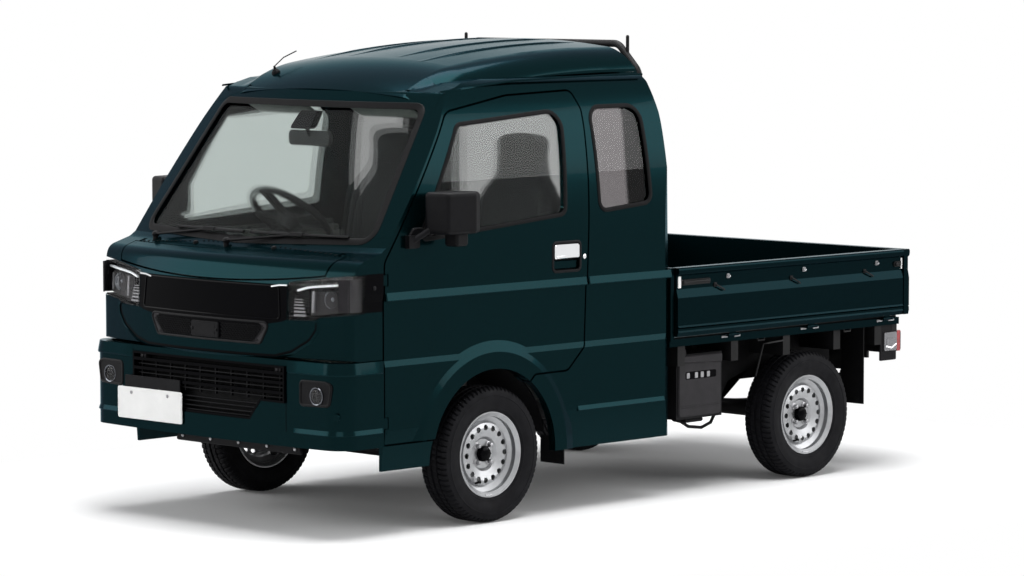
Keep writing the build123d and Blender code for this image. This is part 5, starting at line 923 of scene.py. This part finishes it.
def make_bumper_details():
    form = Form()
    for x in range(-405, 406, 90):
        for low, high in ((598, 622), (559, 586), (521, 547)):
            form.box(x - 2, x + 2, bumper_y(x) + 8, bumper_y(x) + 20, low, high, 0.6)
    for z, half in ((503, 296), (486, 283), (468, 270), (452, 256), (608, 436), (572, 436), (534, 436)):
        form.run([(-half, z), (half, z)], 60, [(-2, -22), (-2, -8), (2, -8), (2, -22)], on_bumper)
    piece("grille_slats", form, "grained_black")
    form = Form()
    form.slab(rectangle(-452, 452, 440, 662, 20, 3),
              lambda x, z, h: P(x, bumper_y(x) + 36 - h, z), 0, 4, 1)
    piece("intake_back", form, "rubber")
    form = Form()
    for x in (-395, 395):
        form.box(x - 16, x + 16, bumper_y(x) + 6, bumper_y(x) + 12, 628, 652, 2)
        form.turned([(0.006, 0), (0.006, 0.004), (0.003, 0.005)], P(x, bumper_y(x) + 6, 640), FORWARD,
                    6)
    piece("intake_brackets", form, "dark_plastic")
    for tag, sign in SIDES:
        place = lambda x, z, h: on_bumper(sign * x, z, h)
        form = Form()
        outline = rounded([(522, 515), (668, 519), (682, 598), (650, 607), (522, 607)], [16] * 5, 5)
        form.loop(outline, 20, [(-7, -2), (-6, 2.6), (0, 4), (5, 1.6), (6, -2)], place)
        form.slab(outline, place, -3, 0.9, 0.5)
        piece("fog_bezel_" + tag, form, "grained_black")
        form = Form()
        centre = on_bumper(sign * 606, 553, 0)
        form.turned([(0.034, -0.006), (0.036, 0.002), (0.034, 0.005), (0.030, 0.003), (0.029, -0.004)],
                    centre, FORWARD, 40, caps=False)
        piece("fog_ring_" + tag, form, "smoked_chrome")
        form = Form()
        form.turned([(0.029, -0.002), (0.024, 0.0035), (0.015, 0.006), (0.004, 0.007)], centre, FORWARD,
                    32)
        for x in (-16, -8, 0, 8, 16):
            reach = math.sqrt(24 ** 2 - x ** 2)
            form.rod([on_bumper(sign * (606 + x), 553 - reach, 3.5),
                      on_bumper(sign * (606 + x), 553, 7.5), on_bumper(sign * (606 + x), 553 + reach,
                                                                       3.5)], 0.0012, 6)
        piece("fog_glass_" + tag, form, "lens")
        form = Form()
        form.run([(446, 406), (446, 655)], 20, [(-1.6, -2), (-1.2, 0.5), (1.2, 0.5), (1.6, -2)], place)
        piece("bumper_seam_" + tag, form, "gloss_black")
        for name, z, section, first in (
                ("bumper_shoulder_", 650, [(679, 0.4), (637, 8), (632, 6), (632, -5), (679, -5)], 452),
                ("bumper_line_", 412, [(424, 0.3), (407, 6), (404, 4.5), (404, -5), (424, -5)], 486)):
            form = Form()
            path = bumper_wrap(sign, z, first)
            rings = []
            for i, p in enumerate(path):
                before, after = path[max(i - 1, 0)], path[min(i + 1, len(path) - 1)]
                along = (after - before).normalized()
                out = Vector((along.y, -along.x, 0)) * sign
                keep = 0.3 if i in (0, len(path) - 1) else 1.0
                rings.append([Vector((p.x, p.y, 0)) + out * (h * keep if h > 0 else h) * MM
                              + Vector((0, 0, v * MM)) for v, h in section])
            form.stack(rings)
            piece(name + tag, form, "paint", smooth=20)
    form = Form()
    form.slab(rectangle(690, 720, 464, 492, 10, 4), on_bumper, -2, 2.2, 1)
    piece("tow_cap", form, "paint")
    form = Form()
    form.slab(rectangle(-525, -137, 388, 513, 8, 5), plane_y(bumper_y(525) - 22, -1), 0, 3, 1)
    form.loop(rectangle(-519, -143, 394, 507, 7, 5), 60, [(-1.5, -0.5), (-1, 1.4), (1, 1.4),
                                                          (1.5, -0.5)], plane_y(bumper_y(525) - 25, -1))
    piece("blank_plate", form, "plate_white")
    form = Form()
    for x in (-440, -222):
        form.turned([(0.007, 0), (0.007, 0.003), (0.004, 0.005)], P(x, bumper_y(525) - 25, 492),
                    FORWARD, 6)
    piece("plate_bolts", form, "steel")
    form = Form()
    form.slab(rectangle(-485, -152, 500, 560, 6, 3), plane_y(bumper_y(485) - 14, -1), 0, 5, 2)
    for x in (-455, -182):
        form.box(x - 18, x + 18, bumper_y(525) - 20, bumper_y(x) + 3, 400, 500, 3)
    piece("plate_bracket", form, "grained_black")
    form = Form()
    under = rounded([(-300, 307), (435, 307), (420, 349), (-285, 349)], [8] * 4, 3)
    form.slab(under, plane_y(-735, -1), 0, 10, 3)
    form.box(-290, 425, -745, -700, 345, 360, 3)
    piece("under_panel", form, "grained_black")
    form = Form()
    for x in (-255, -90, 75, 240, 400):
        form.turned([(0.0075, 0), (0.0075, 0.004), (0.004, 0.006)], P(x, -745, 328), FORWARD, 6)
    piece("under_bolts", form, "steel")


def make_wiper_details():
    """Blades, their clips and the caps on the pivots."""
    for number, (px, py, mx, mz, length) in enumerate(((-519, -655, -200, 1140, 420),
                                                       (-36, -705, 300, 1140, 500))):
        form = Form()
        ends = densify([(mx - length / 2, mz), (mx + length / 2, mz)], 30, False)
        form.strip(ends, False, [(-6, 1), (-2, 14), (2, 14), (6, 1)], on_face)
        form.run([(mx - 34, mz + 2), (mx + 34, mz + 2)], 17, [(-8, 8), (-6, 18), (6, 18), (8, 8)],
                 on_face)
        piece("wiper_blade_%d" % number, form, "rubber")
        form = Form()
        form.turned([(0.014, -0.01), (0.014, 0.004), (0.009, 0.01), (0.003, 0.011)], P(px, py, 1106),
                    (0, -0.4, 1), 20)
        piece("wiper_cap_%d" % number, form, "grained_black")


# Wheels and tyres

TYRE_ROWS = [(155.0, 50), (168.8, 50), (170, 59.5), (171.5, 60.6), (178, 63.6), (180, 65.4),
             (183, 65.4), (185, 65.8), (200, 70.2), (215, 72.3), (228, 72.3), (229.5, 73.4),
             (233, 73.4), (234.5, 71.9), (246, 69.8), (251, 68.8)]
TREAD = [(258, 64.5, "block"), (262.5, 59.5, "block"), (265.5, 53, "block"), (267, 46, "block"),
         (267.3, 33, "block"), (260, 31.5, ""), (260, 26.5, ""), (267.6, 25, "rib"),
         (267.9, 6.5, "rib"), (260.2, 5, ""), (260.2, 0.0, "")]
AXLES = (("front", 0.0, 1305.0), ("rear", 1905.0, 1300.0))
HUB_HEIGHT = 268
VALVE_ANGLE = 4.2
WEIGHT_ANGLE = 4.55
TREAD_PITCHES = 72
TREAD_STEPS = 4


def make_tyres():
    for end, y, track in AXLES:
        for tag, sign in SIDES:
            half = [(r, w, "") for r, w in TYRE_ROWS] + TREAD
            rows = half + [(r, -w, kind) for r, w, kind in reversed(half[:-1])]
            steps = TREAD_PITCHES * TREAD_STEPS
            form = Form()
            rings = []
            for r, w, kind in rows:
                ring = []
                for k in range(steps):
                    phase = (k + (2 if w < 0 else 0)) % TREAD_STEPS
                    sunk = kind == "block" and phase == 0
                    small = kind == "rib" and phase == 0
                    radius = r - (6.0 if sunk else 0.0) - (2.6 if small else 0.0)
                    across = w - (3.2 if sunk and abs(w) > 58 else 0.0) * (1 if w > 0 else -1)
                    lean = abs(w) * 0.0009 * (1 if w > 0 else -1)
                    angle = 2 * math.pi * k / steps + lean
                    ring.append(P(sign * (track / 2 + across), y + radius * math.cos(angle),
                                  HUB_HEIGHT + radius * math.sin(angle)))
                rings.append(ring)
            form.stack(rings, joined=True)
            wheel = "%s_%s" % (end, tag)
            tread = piece("tread_" + wheel, form, "tyre_rubber", "wheel_" + wheel, smooth=28)
            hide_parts("tyre_" + wheel)


def make_wheel_details():
    for end, y, track in AXLES:
        for tag, sign in SIDES:
            wheel = "%s_%s" % (end, tag)
            body = "wheel_" + wheel

            def at(offset, radius=0.0, angle=0.0):
                """A place on the wheel, offset outwards from its middle plane."""
                return P(sign * (track / 2 + offset), y + radius * math.cos(angle),
                         HUB_HEIGHT + radius * math.sin(angle))
            axis = (sign, 0, 0)
            form = Form()
            for k in range(4):
                foot = at(13, 46, math.pi / 4 + k * math.pi / 2)
                form.turned([(0.0125, 0.0), (0.0125, 0.004), (0.0098, 0.0055), (0.0098, 0.017),
                             (0.0075, 0.021), (0.003, 0.023)], foot, axis, 6)
                form.turned([(0.015, -0.001), (0.0145, 0.0035), (0.011, 0.005)], foot, axis, 20)
            piece("wheel_nuts_" + wheel, form, "steel", body)
            form = Form()
            form.turned([(0.0305, 0.0), (0.0315, 0.006), (0.0305, 0.015), (0.027, 0.021),
                         (0.018, 0.0245), (0.006, 0.026)], at(13), axis, 36)
            for k in range(6):
                angle = k * math.pi / 3
                form.rod([at(33, 30, angle), at(16, 32, angle)], 0.0022, 6)
            piece("hub_cap_" + wheel, form, "gloss_black", body)
            form = Form()
            start, stop = at(36, 126, VALVE_ANGLE), at(56, 119, VALVE_ANGLE)
            form.rod([start, (start + stop) / 2, stop], 0.0042, 10)
            form.turned([(0.0052, -0.006), (0.0052, 0.006), (0.004, 0.007)], stop, axis, 12)
            piece("valve_" + wheel, form, "rubber", body)
            form = Form()
            form.turned([(0.1602, 0.0475), (0.1602, 0.0505), (0.1585, 0.051), (0.1585, 0.0470)], at(0),
                        axis, 96, caps=False)
            piece("rim_line_" + wheel, form, "wheel_silver", body)
            form = Form()
            form.rod([at(56.5, 160, WEIGHT_ANGLE + k * 0.035) for k in range(7)], 0.0032, 8)
            piece("balance_weight_" + wheel, form, "steel", body)


# Bed


REAR_LAMP_X = 622
REAR_LAMP_Y = 2538


def gate_rails(name, body, rail, crease, place):
    """The rolled rail along a gate's top and the two creases near its foot."""
    form = Form()
    form.run([(rail[0], 925.5), (rail[1], 925.5)], 200, RAIL, place)
    for z in (698, 677):
        form.run([(crease[0], z), (crease[1], z)], 200, CREASE, place)
    piece(name, form, "bed_paint", body, smooth=30)


def make_bed_details():
    for tag, sign in SIDES:
        gate = "side_gate_" + tag
        gate_rails("gate_rail_" + tag, gate, (1058.5, 2507), (1059, 2506), plane_x(737.5, sign))
        form = Form()
        for y in (1374, 1856, 2337):
            form.slab(rectangle(y - 9, y + 9, 880, 900, 4, 3), plane_x(728.5, sign), -1, 3, 1)
            form.rod([P(sign * 730, y - 6, 896), P(sign * 737, y - 6, 889), P(sign * 738, y, 883),
                      P(sign * 737, y + 6, 889), P(sign * 730, y + 6, 896)], 0.0022, 8)
        piece("gate_staples_" + tag, form, "steel", gate)
        form = Form()
        for y in (1315, 1795, 2277):
            form.rod([P(sign * 730, y - 26, 861), P(sign * 738, y - 22, 858),
                      P(sign * 741, y + 20, 838), P(sign * 738, y + 27, 834)], 0.0035, 10)
            form.slab(rectangle(y - 30, y - 12, 850, 868, 4, 3), plane_x(729.5, sign), -1, 3, 1)
        piece("gate_hooks_" + tag, form, "frame_black", gate)
        form = Form()
        for y0, y1 in ((1066, 1082), (2500, 2507)):
            form.slab(rectangle(y0, y1, 856, 904, 3, 3), plane_x(729, sign), -1, 4, 1)
        piece("gate_plates_" + tag, form, "plate_white", gate)
        form = Form()
        for y0, y1 in ((1084, 1262), (2452, 2500)):
            form.slab(rectangle(y0, y1, 866, 890, 9, 4), plane_x(728.5, sign), -1, 6, 2)
            middle = (y0 + y1) / 2
            form.turned([(0.009, 0), (0.009, 0.005), (0.006, 0.007)], P(sign * 734, y0 + 14, 878),
                        (sign, 0, 0), 16)
            form.rod([P(sign * 735, y0 + 14, 878), P(sign * 738, middle, 880),
                      P(sign * 736, y1 - 8, 880)], 0.004, 8)
        piece("gate_latches_" + tag, form, "frame_black", gate)
        form = Form()
        for y in (1388, 1890, 2395):
            for low, high in ((y - 40, y - 4), (y + 40, y + 76)):
                form.slab(rectangle(low, high, 632, 642, 3, 3), plane_x(716, sign), -1, 5, 2)
        piece("hinge_tabs_" + tag, form, "steel")
        form = Form()
        for y in (1600, 2160):
            form.rod([P(sign * 712, y - 22, 617), P(sign * 714, y - 20, 606),
                      P(sign * 714, y + 20, 606), P(sign * 712, y + 22, 617)], 0.004, 8)
        piece("rope_rail_" + tag, form, "frame_black")
        form = Form()
        form.rod([P(sign * 690, 1791, 593), P(sign * 722, 1640, 592), P(sign * 722, 1606, 590),
                  P(sign * 700, 1582, 455)], 0.004, 8)
        piece("arch_stay_" + tag, form, "frame_black")
    for tag, sign in SIDES:
        form = Form()
        wall = rounded([(1394, 340), (1560, 318), (1622, 420), (2286, 420), (2286, 632), (1394, 632)],
                       [10] * 6, 3)
        form.slab(wall, plane_x(506, sign), 0, 4, 1)
        piece("inner_guard_" + tag, form, "rubber")
        form = Form()
        form.slab(rectangle(2404, 2513, 458, 636, 6, 3), plane_x(692, sign), 0, 7, 2)
        piece("lamp_frame_" + tag, form, "grained_black")
    gate_rails("tailgate_rail", "tailgate", (-736, 736), (-736, 736), plane_y(2550, 1))
    form = Form()
    for x in range(-600, 601, 100):
        form.box(x - 16, x + 16, 1062, 2500, 648, 653.5, 2)
    piece("bed_ribs", form, "bed_paint")
    # Dark rubber strips that close the gaps between the bed floor and its gates: painted shade, where
    # the real truck has a gap in shadow.
    form = Form()
    for sign in (-1, 1):
        form.box(sign * 698 - 3.4, sign * 698 + 3.4, 1052, 2506, 641, 651, 1.5)
    form.box(-696, 696, 2507, 2513.6, 641, 651, 1.5)
    piece("bed_edge_gap_shade", form, "rubber")
    form = Form()
    for x in (-640, 640):
        form.box(x - 30, x + 30, 2549, 2554, 862, 900, 2)
        form.rod([P(x - 22, 2556, 880), P(x + 22, 2556, 880)], 0.005, 8)
    piece("tailgate_latches", form, "frame_black", "tailgate")
    form = Form()
    form.slab(rectangle(-165, 165, 690, 790, 8, 4), plane_y(2550, 1), -1, 3, 1)
    piece("rear_blank_plate", form, "plate_white", "tailgate")
    for tag, sign in SIDES:
        form = Form()
        middle = sign * REAR_LAMP_X
        lens_plane = plane_y(REAR_LAMP_Y, 1)
        form.loop(rectangle(middle - 76, middle + 76, 497, 583, 8, 4), 40,
                  [(-2, -1), (-2, 3), (0, 4), (2, 3), (2, -1)], lens_plane)
        for x in (middle - 26, middle + 26):
            form.box(x - 1.5, x + 1.5, 2537, 2541, 497, 583, 0.5)
        piece("rear_lamp_rim_" + tag, form, "grained_black")
        for name, material, first, last in (("amber", "amber", -74, -30),
                                            ("clear", "lamp_glow", -22, 22)):
            form = Form()
            form.slab(rectangle(middle + first, middle + last, 500, 580, 5, 3), lens_plane, -1, 1.5,
                      0.5)
            piece("rear_lamp_%s_%s" % (name, tag), form, material)
        form = Form()
        form.slab(rectangle(2428, 2512, 500, 580, 8, 4), plane_x(700, sign), -1, 3, 1)
        form.slab(rectangle(2440, 2500, 512, 556, 8, 4), plane_x(702.5, sign), -1, 3, 1.5)
        piece("rear_lamp_side_" + tag, form, "silver_plastic")
        form = Form()
        form.rod([P(sign * 703, 2436, 520), P(sign * 706, 2470, 512), P(sign * 704, 2504, 528)], 0.004,
                 8)
        piece("rear_lamp_bulb_" + tag, form, "chrome")


def make_air_box_details():
    side = plane_x(680, 1)
    form = Form()
    form.slab(rounded([(1122, 316), (1382, 316), (1382, 556), (1122, 566)], [16] * 4, 4), side, -1, 7,
              4)
    form.slab(rounded([(1122, 540), (1382, 530), (1382, 570), (1122, 570)], [10] * 4, 4), side, 4, 16,
              5)
    for z in (352, 360):
        form.run([(1140, z), (1366, z)], 60, [(-1.5, 5), (-1, 8.5), (1, 8.5), (1.5, 5)], side)
    piece("air_box_cover", form, "dark_plastic")
    form = Form()
    form.slab(rectangle(1160, 1350, 470, 502, 8, 4), side, 5, 7.6, 1)
    piece("air_box_slot", form, "gloss_black")
    form = Form()
    for y in (1176, 1226, 1262, 1300):
        form.slab(rectangle(y - 9, y + 9, 474, 498, 4, 3), side, 6, 9.5, 1)
    piece("air_box_clips", form, "steel")
    form = Form()
    form.box(590, 670, 1180, 1290, 288, 307, 6)
    form.rod([P(640, 1170, 300), P(640, 1230, 268), P(622, 1330, 254), P(585, 1430, 264),
              P(545, 1500, 292), P(508, 1545, 330)], 0.007, 12)
    piece("drain_pipe", form, "rubber")
    form = Form()
    form.turned([(0.03, 0), (0.03, 0.004), (0.022, 0.006), (0.022, 0.010), (0.006, 0.012)],
                P(687, 1130, 610 - 30), (1, 0, 0), 20)
    piece("filler_knob", form, "grained_black")
    form = Form()
    place = plane_x(690, -1)
    for y in (1200, 1400):
        form.box(-695, -688, y - 12, y + 12, 296, 518, 2)
    form.run([(1130, 404), (1470, 404)], 60, [(-8, -1), (-6, 3), (6, 3), (8, -1)], place)
    piece("tank_straps", form, "steel")


# Cab interior


def make_interior_details():
    tilt = math.radians(48)
    aim = Vector((0, math.cos(tilt), math.sin(tilt)))
    hub = P(-330, -95, 1150)
    form = Form()
    form.turned([(0.036, -0.06), (0.052, -0.03), (0.06, -0.012), (0.052, 0.004), (0.03, 0.012),
                 (0.008, 0.014)], hub, aim, 32)
    piece("horn_pad", form, "interior_dark", "steering_wheel")
    form = Form()
    for angle in (168, 12, 270):
        a = math.radians(angle)
        across = Vector((1, 0, 0))
        up = aim.cross(across)
        way = across * math.cos(a) + up * math.sin(a)
        form.rod([hub - aim * 0.01 + way * 0.045, hub + way * 0.11 - aim * 0.006, hub + way * 0.172],
                 0.013, 12)
    piece("spoke_covers", form, "interior_dark", "steering_wheel")
    form = Form()
    form.turned([(0.03, -0.2), (0.038, -0.16), (0.038, -0.09), (0.03, -0.074)], hub, aim, 24)
    for way in (1, -1):
        form.rod([hub - aim * 0.12 + Vector((way * 0.03, 0, 0)),
                  hub - aim * 0.11 + Vector((way * 0.13, 0, 0.02)),
                  hub - aim * 0.1 + Vector((way * 0.17, 0.005, 0.02))], 0.007, 10)
    piece("column_shroud", form, "interior_dark")
    form = Form()
    hood = rounded([(-470, 1078), (-190, 1078), (-205, 1130), (-455, 1130)], [10, 10, 34, 34], 6)
    form.slab(hood, plane_y(-560, 1), 0, 96, 10)
    piece("meter_hood", form, "interior_dark")
    form = Form()
    form.slab(rectangle(-448, -212, 1084, 1120, 10, 4), plane_y(-464, 1), 0, 1.6, 0.5)
    piece("meter_face", form, "gloss_black")
    form = Form()
    for x in (-390, -330, -270):
        form.turned([(0.017, 0.0), (0.017, 0.002), (0.0155, 0.002), (0.0155, 0.0005)], P(x, -462, 1102),
                    (0, 1, 0), 28, caps=False)
    piece("meter_rings", form, "chrome")
    form = Form()

    def dash_y(z):
        return -480 + 40 * (1080 - z) / 80

    def face(x, z, h):
        return P(x, dash_y(z) + h, z)

    def knee(x, z, h):
        return P(x, -440 - 20 * (1000 - z) / 150 + h, z)
    form.loop(rectangle(120, 600, 866, 985, 18, 4), 60, PANEL_LINE, knee)
    form.slab(rectangle(330, 400, 965, 978, 5, 3), knee, 0, 7, 2)
    form.loop(rectangle(-120, 90, 870, 990, 12, 4), 60, PANEL_LINE, knee)
    piece("dash_lines", form, "interior_dark")
    form = Form()
    for x in (-590, -70, 70, 590):
        form.slab(rectangle(x - 48, x + 48, 1014, 1062, 12, 4), face, -1, 4, 2)
        for z in (1024, 1034, 1044, 1054):
            form.box(x - 40, x + 40, dash_y(z) + 2, dash_y(z) + 8, z - 1.5, z + 1.5, 0.6)
    form.slab(rectangle(-100, 70, 905, 985, 6, 3), knee, -1, 4, 2)
    for x in (-70, -15, 40):
        form.turned([(0.016, 0), (0.016, 0.012), (0.012, 0.015), (0.004, 0.016)], P(x, -443, 885),
                    (0, 1, 0), 24)
    piece("dash_vents", form, "interior_dark")
    form = Form()
    form.rod([P(-20, -380, 690), P(-18, -330, 800), P(-14, -300, 905)], 0.007, 10)
    form.turned([(0.008, -0.02), (0.02, -0.01), (0.023, 0.008), (0.018, 0.024), (0.006, 0.03)],
                P(-13, -296, 925), (0.05, 0.25, 1), 20)
    form.box(-60, 20, -400, -330, 655, 700, 14)
    piece("gear_lever", form, "interior_dark")
    form = Form()
    form.rod([P(0, 40, 670), P(0, 120, 720), P(0, 190, 745)], 0.009, 10)
    form.rod([P(0, 180, 743), P(0, 290, 770)], 0.014, 12)
    form.box(-40, 40, 10, 120, 655, 690, 10)
    piece("parking_brake", form, "interior_dark")
    form = Form()
    for x in (-430, -330, -240):
        form.rod([P(x, -650, 760), P(x, -610, 640), P(x, -560, 545)], 0.006, 8)
        form.slab(rectangle(x - 28, x + 28, 510, 560, 8, 3),
                  lambda u, v, h: P(u, -548 + (v - 535) * 0.5 + h, v), -3, 4, 2)
    piece("pedals", form, "rubber")
    form = Form()
    for sign in (-1, 1):
        form.slab(rectangle(sign * 300 - 170, sign * 300 + 170, 0, 140, 26, 5),
                  lambda u, v, h: P(u, -215 + v * 0.55 + 0.2 * h, 1600 + 30 - v * 0.28 - h), 0, 14, 5)
    piece("sun_visors", form, "interior_grey")
    form = Form()
    form.slab(rounded([(-60, 1530), (60, 1530), (48, 1600), (-48, 1600)], [12] * 4, 4),
              lambda x, z, h: P(x, screen_inner(z) + h, z), 4, 46, 10)
    piece("camera_housing", form, "grained_black")
    form = Form()
    form.slab(rectangle(-118, 118, 1462, 1522, 20, 5), plane_y(-300, 1), 0, 22, 7)
    form.rod([P(0, -315, 1545), P(0, -296, 1500)], 0.008, 10)
    piece("room_mirror", form, "interior_dark")
    form = Form()
    form.slab(rectangle(-110, 110, 1468, 1516, 16, 5), plane_y(-278, 1), 0, 1.5, 0.5)
    piece("room_mirror_pane", form, "mirror_glass")


def screen_inner(z):
    """The windscreen's inner face on the middle line."""
    return front_middle(z) + 10


# Seats

PAD_VOXEL = 0.009
PAD_START = 0.955
PAD_REACH = 0.022
PAD_FRAMES = 20
PAD_PRESSURE = 4.0
PAD_EDGE = 0.0005
PAD_RISE = 0.008
SEAM_LIFT = 0.0005
SEAT_X = 365


def pad_from_node(name, node, seam):
    """A cloth pad blown up from a slightly smaller copy of its CAD form."""
    source = frame["nodes"][node].data
    mesh = source.copy()
    mesh.name = name
    mesh.materials.clear()
    mesh.materials.append(MATS["seat_cloth"])
    obj = add_object(name, mesh)
    lo = Vector([min(v.co[i] for v in mesh.vertices) for i in range(3)])
    hi = Vector([max(v.co[i] for v in mesh.vertices) for i in range(3)])
    centre = (lo + hi) / 2
    for v in mesh.vertices:
        v.co = centre + (v.co - centre) * PAD_START
    remesh = obj.modifiers.new("remesh", "REMESH")
    remesh.mode = "VOXEL"
    remesh.voxel_size = PAD_VOXEL
    smooth = obj.modifiers.new("smooth", "SMOOTH")
    smooth.iterations = 8
    settle(obj)
    held = obj.vertex_groups.new(name="held")
    held.add([v.index for v in obj.data.vertices if seam(v.co)], 1.0, "REPLACE")
    start = [v.co.copy() for v in obj.data.vertices]
    cloth = obj.modifiers.new("cloth", "CLOTH")
    cloth.settings.quality = 5
    cloth.settings.mass = 0.3
    cloth.settings.tension_stiffness = 18
    cloth.settings.compression_stiffness = 18
    cloth.settings.bending_stiffness = 0.6
    cloth.settings.use_pressure = True
    cloth.settings.uniform_pressure_force = PAD_PRESSURE
    cloth.settings.vertex_group_mass = "held"
    cloth.settings.effector_weights.gravity = 0
    cloth.point_cache.frame_start = 1
    cloth.point_cache.frame_end = PAD_FRAMES
    for number in range(1, PAD_FRAMES + 1):
        bpy.context.scene.frame_set(number)
        bpy.context.view_layer.update()
    settle(obj)
    bpy.context.scene.frame_set(1)
    for v, s in zip(obj.data.vertices, start):
        move = v.co - s
        if move.length > PAD_REACH:
            move = move.normalized() * PAD_REACH
        v.co = s + move
        for i in range(3):
            top = hi[i] + (PAD_RISE if i == 2 else -PAD_EDGE)
            v.co[i] = min(max(v.co[i], lo[i] + PAD_EDGE), top)
    obj.vertex_groups.clear()
    detail = obj.modifiers.new("detail", "SUBSURF")
    detail.levels = 1
    settle(obj)
    for polygon in obj.data.polygons:
        polygon.use_smooth = True
    return obj


def settle(obj):
    """Applies every modifier to the mesh."""
    graph = bpy.context.evaluated_depsgraph_get()
    done = bpy.data.meshes.new_from_object(obj.evaluated_get(graph))
    obj.modifiers.clear()
    old = obj.data
    obj.data = done
    done.name = old.name
    bpy.data.meshes.remove(old)


def mirrored(obj, name):
    """A copy of a left piece for the right side."""
    mesh = obj.data.copy()
    mesh.name = name
    for v in mesh.vertices:
        v.co.x = -v.co.x
    mesh.flip_normals()
    return add_object(name, mesh)


def cushion_seam(co):
    """Whether a point of the left cushion lies under a seam or at its foot."""
    x, y, z = abs(co.x / MM - SEAT_X), co.y / MM + ORIGIN_Y, co.z / MM
    return z < 668 or z > 760 and (abs(x - 150) < 6 or abs(y - 60) < 6 and x < 150)


def back_seam(co):
    """Whether a point of the left seat back lies under a seam or at its foot."""
    x, y, z = abs(co.x / MM - SEAT_X), co.y / MM + ORIGIN_Y, co.z / MM
    return z < 668 or abs(x - 140) < 6 and z < 1230 or abs(z - 1350) < 7 or (
        abs(z - 1050) < 6 and x < 140 and y < 500)


def seam_lines(tree, kind):
    """The left pad's seams, cast down on a cushion and rearwards on a back."""
    if kind == "cushion":
        way = Vector(DOWN)
        paths = [[P(x, y, 900) for y in range(-70, 371, 20)] for x in (215, 515)]
        paths.append([P(x, 60, 900) for x in range(218, 513, 15)])
    else:
        way = Vector((0, 1, 0))
        paths = [[P(x, 300, z) for z in range(830, 1221, 20)] for x in (225, 505)]
        paths.append([P(x, 300, 1050) for x in range(228, 503, 15)])
        paths.append([P(x, 300, 1350) for x in range(258, 473, 15)])
    lines = []
    for path in paths:
        hits = [tree.ray_cast(p, way)[0] for p in path]
        lines.append([hit - way * SEAM_LIFT for hit in hits if hit])
    return lines


def make_seats():
    for kind, seam, fill in (("cushion", cushion_seam, 0.8), ("back", back_seam, 0.7)):
        left = pad_from_node("seat_%s_pad_left" % kind, "seat_%s_left" % kind, seam)
        right = mirrored(left, "seat_%s_pad_right" % kind)
        lines = seam_lines(tree_of(left.data), kind)
        for tag, sign in SIDES:
            obj = left if sign > 0 else right
            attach(obj, "truck")
            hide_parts("seat_%s_%s" % (kind, tag))
            form = Form()
            for line in lines:
                if len(line) > 2:
                    form.rod([Vector((p.x * sign, p.y, p.z)) for p in line], 0.0022, 6)
            piece("seat_%s_seams_%s" % (kind, tag), form, "rubber")


bpy.context.scene.view_settings.view_transform = "Standard"
make_camera()
make_world()
make_stage()
make_materials()
dress_nodes()
make_window_seals()
make_door_details()
make_side_bands()
make_roof_details()
make_gutter_noses()
make_front_panel_details()
make_headlamps()
make_bumper_details()
make_wiper_details()
make_tyres()
make_wheel_details()
make_bed_details()
make_air_box_details()
make_interior_details()
make_seats()
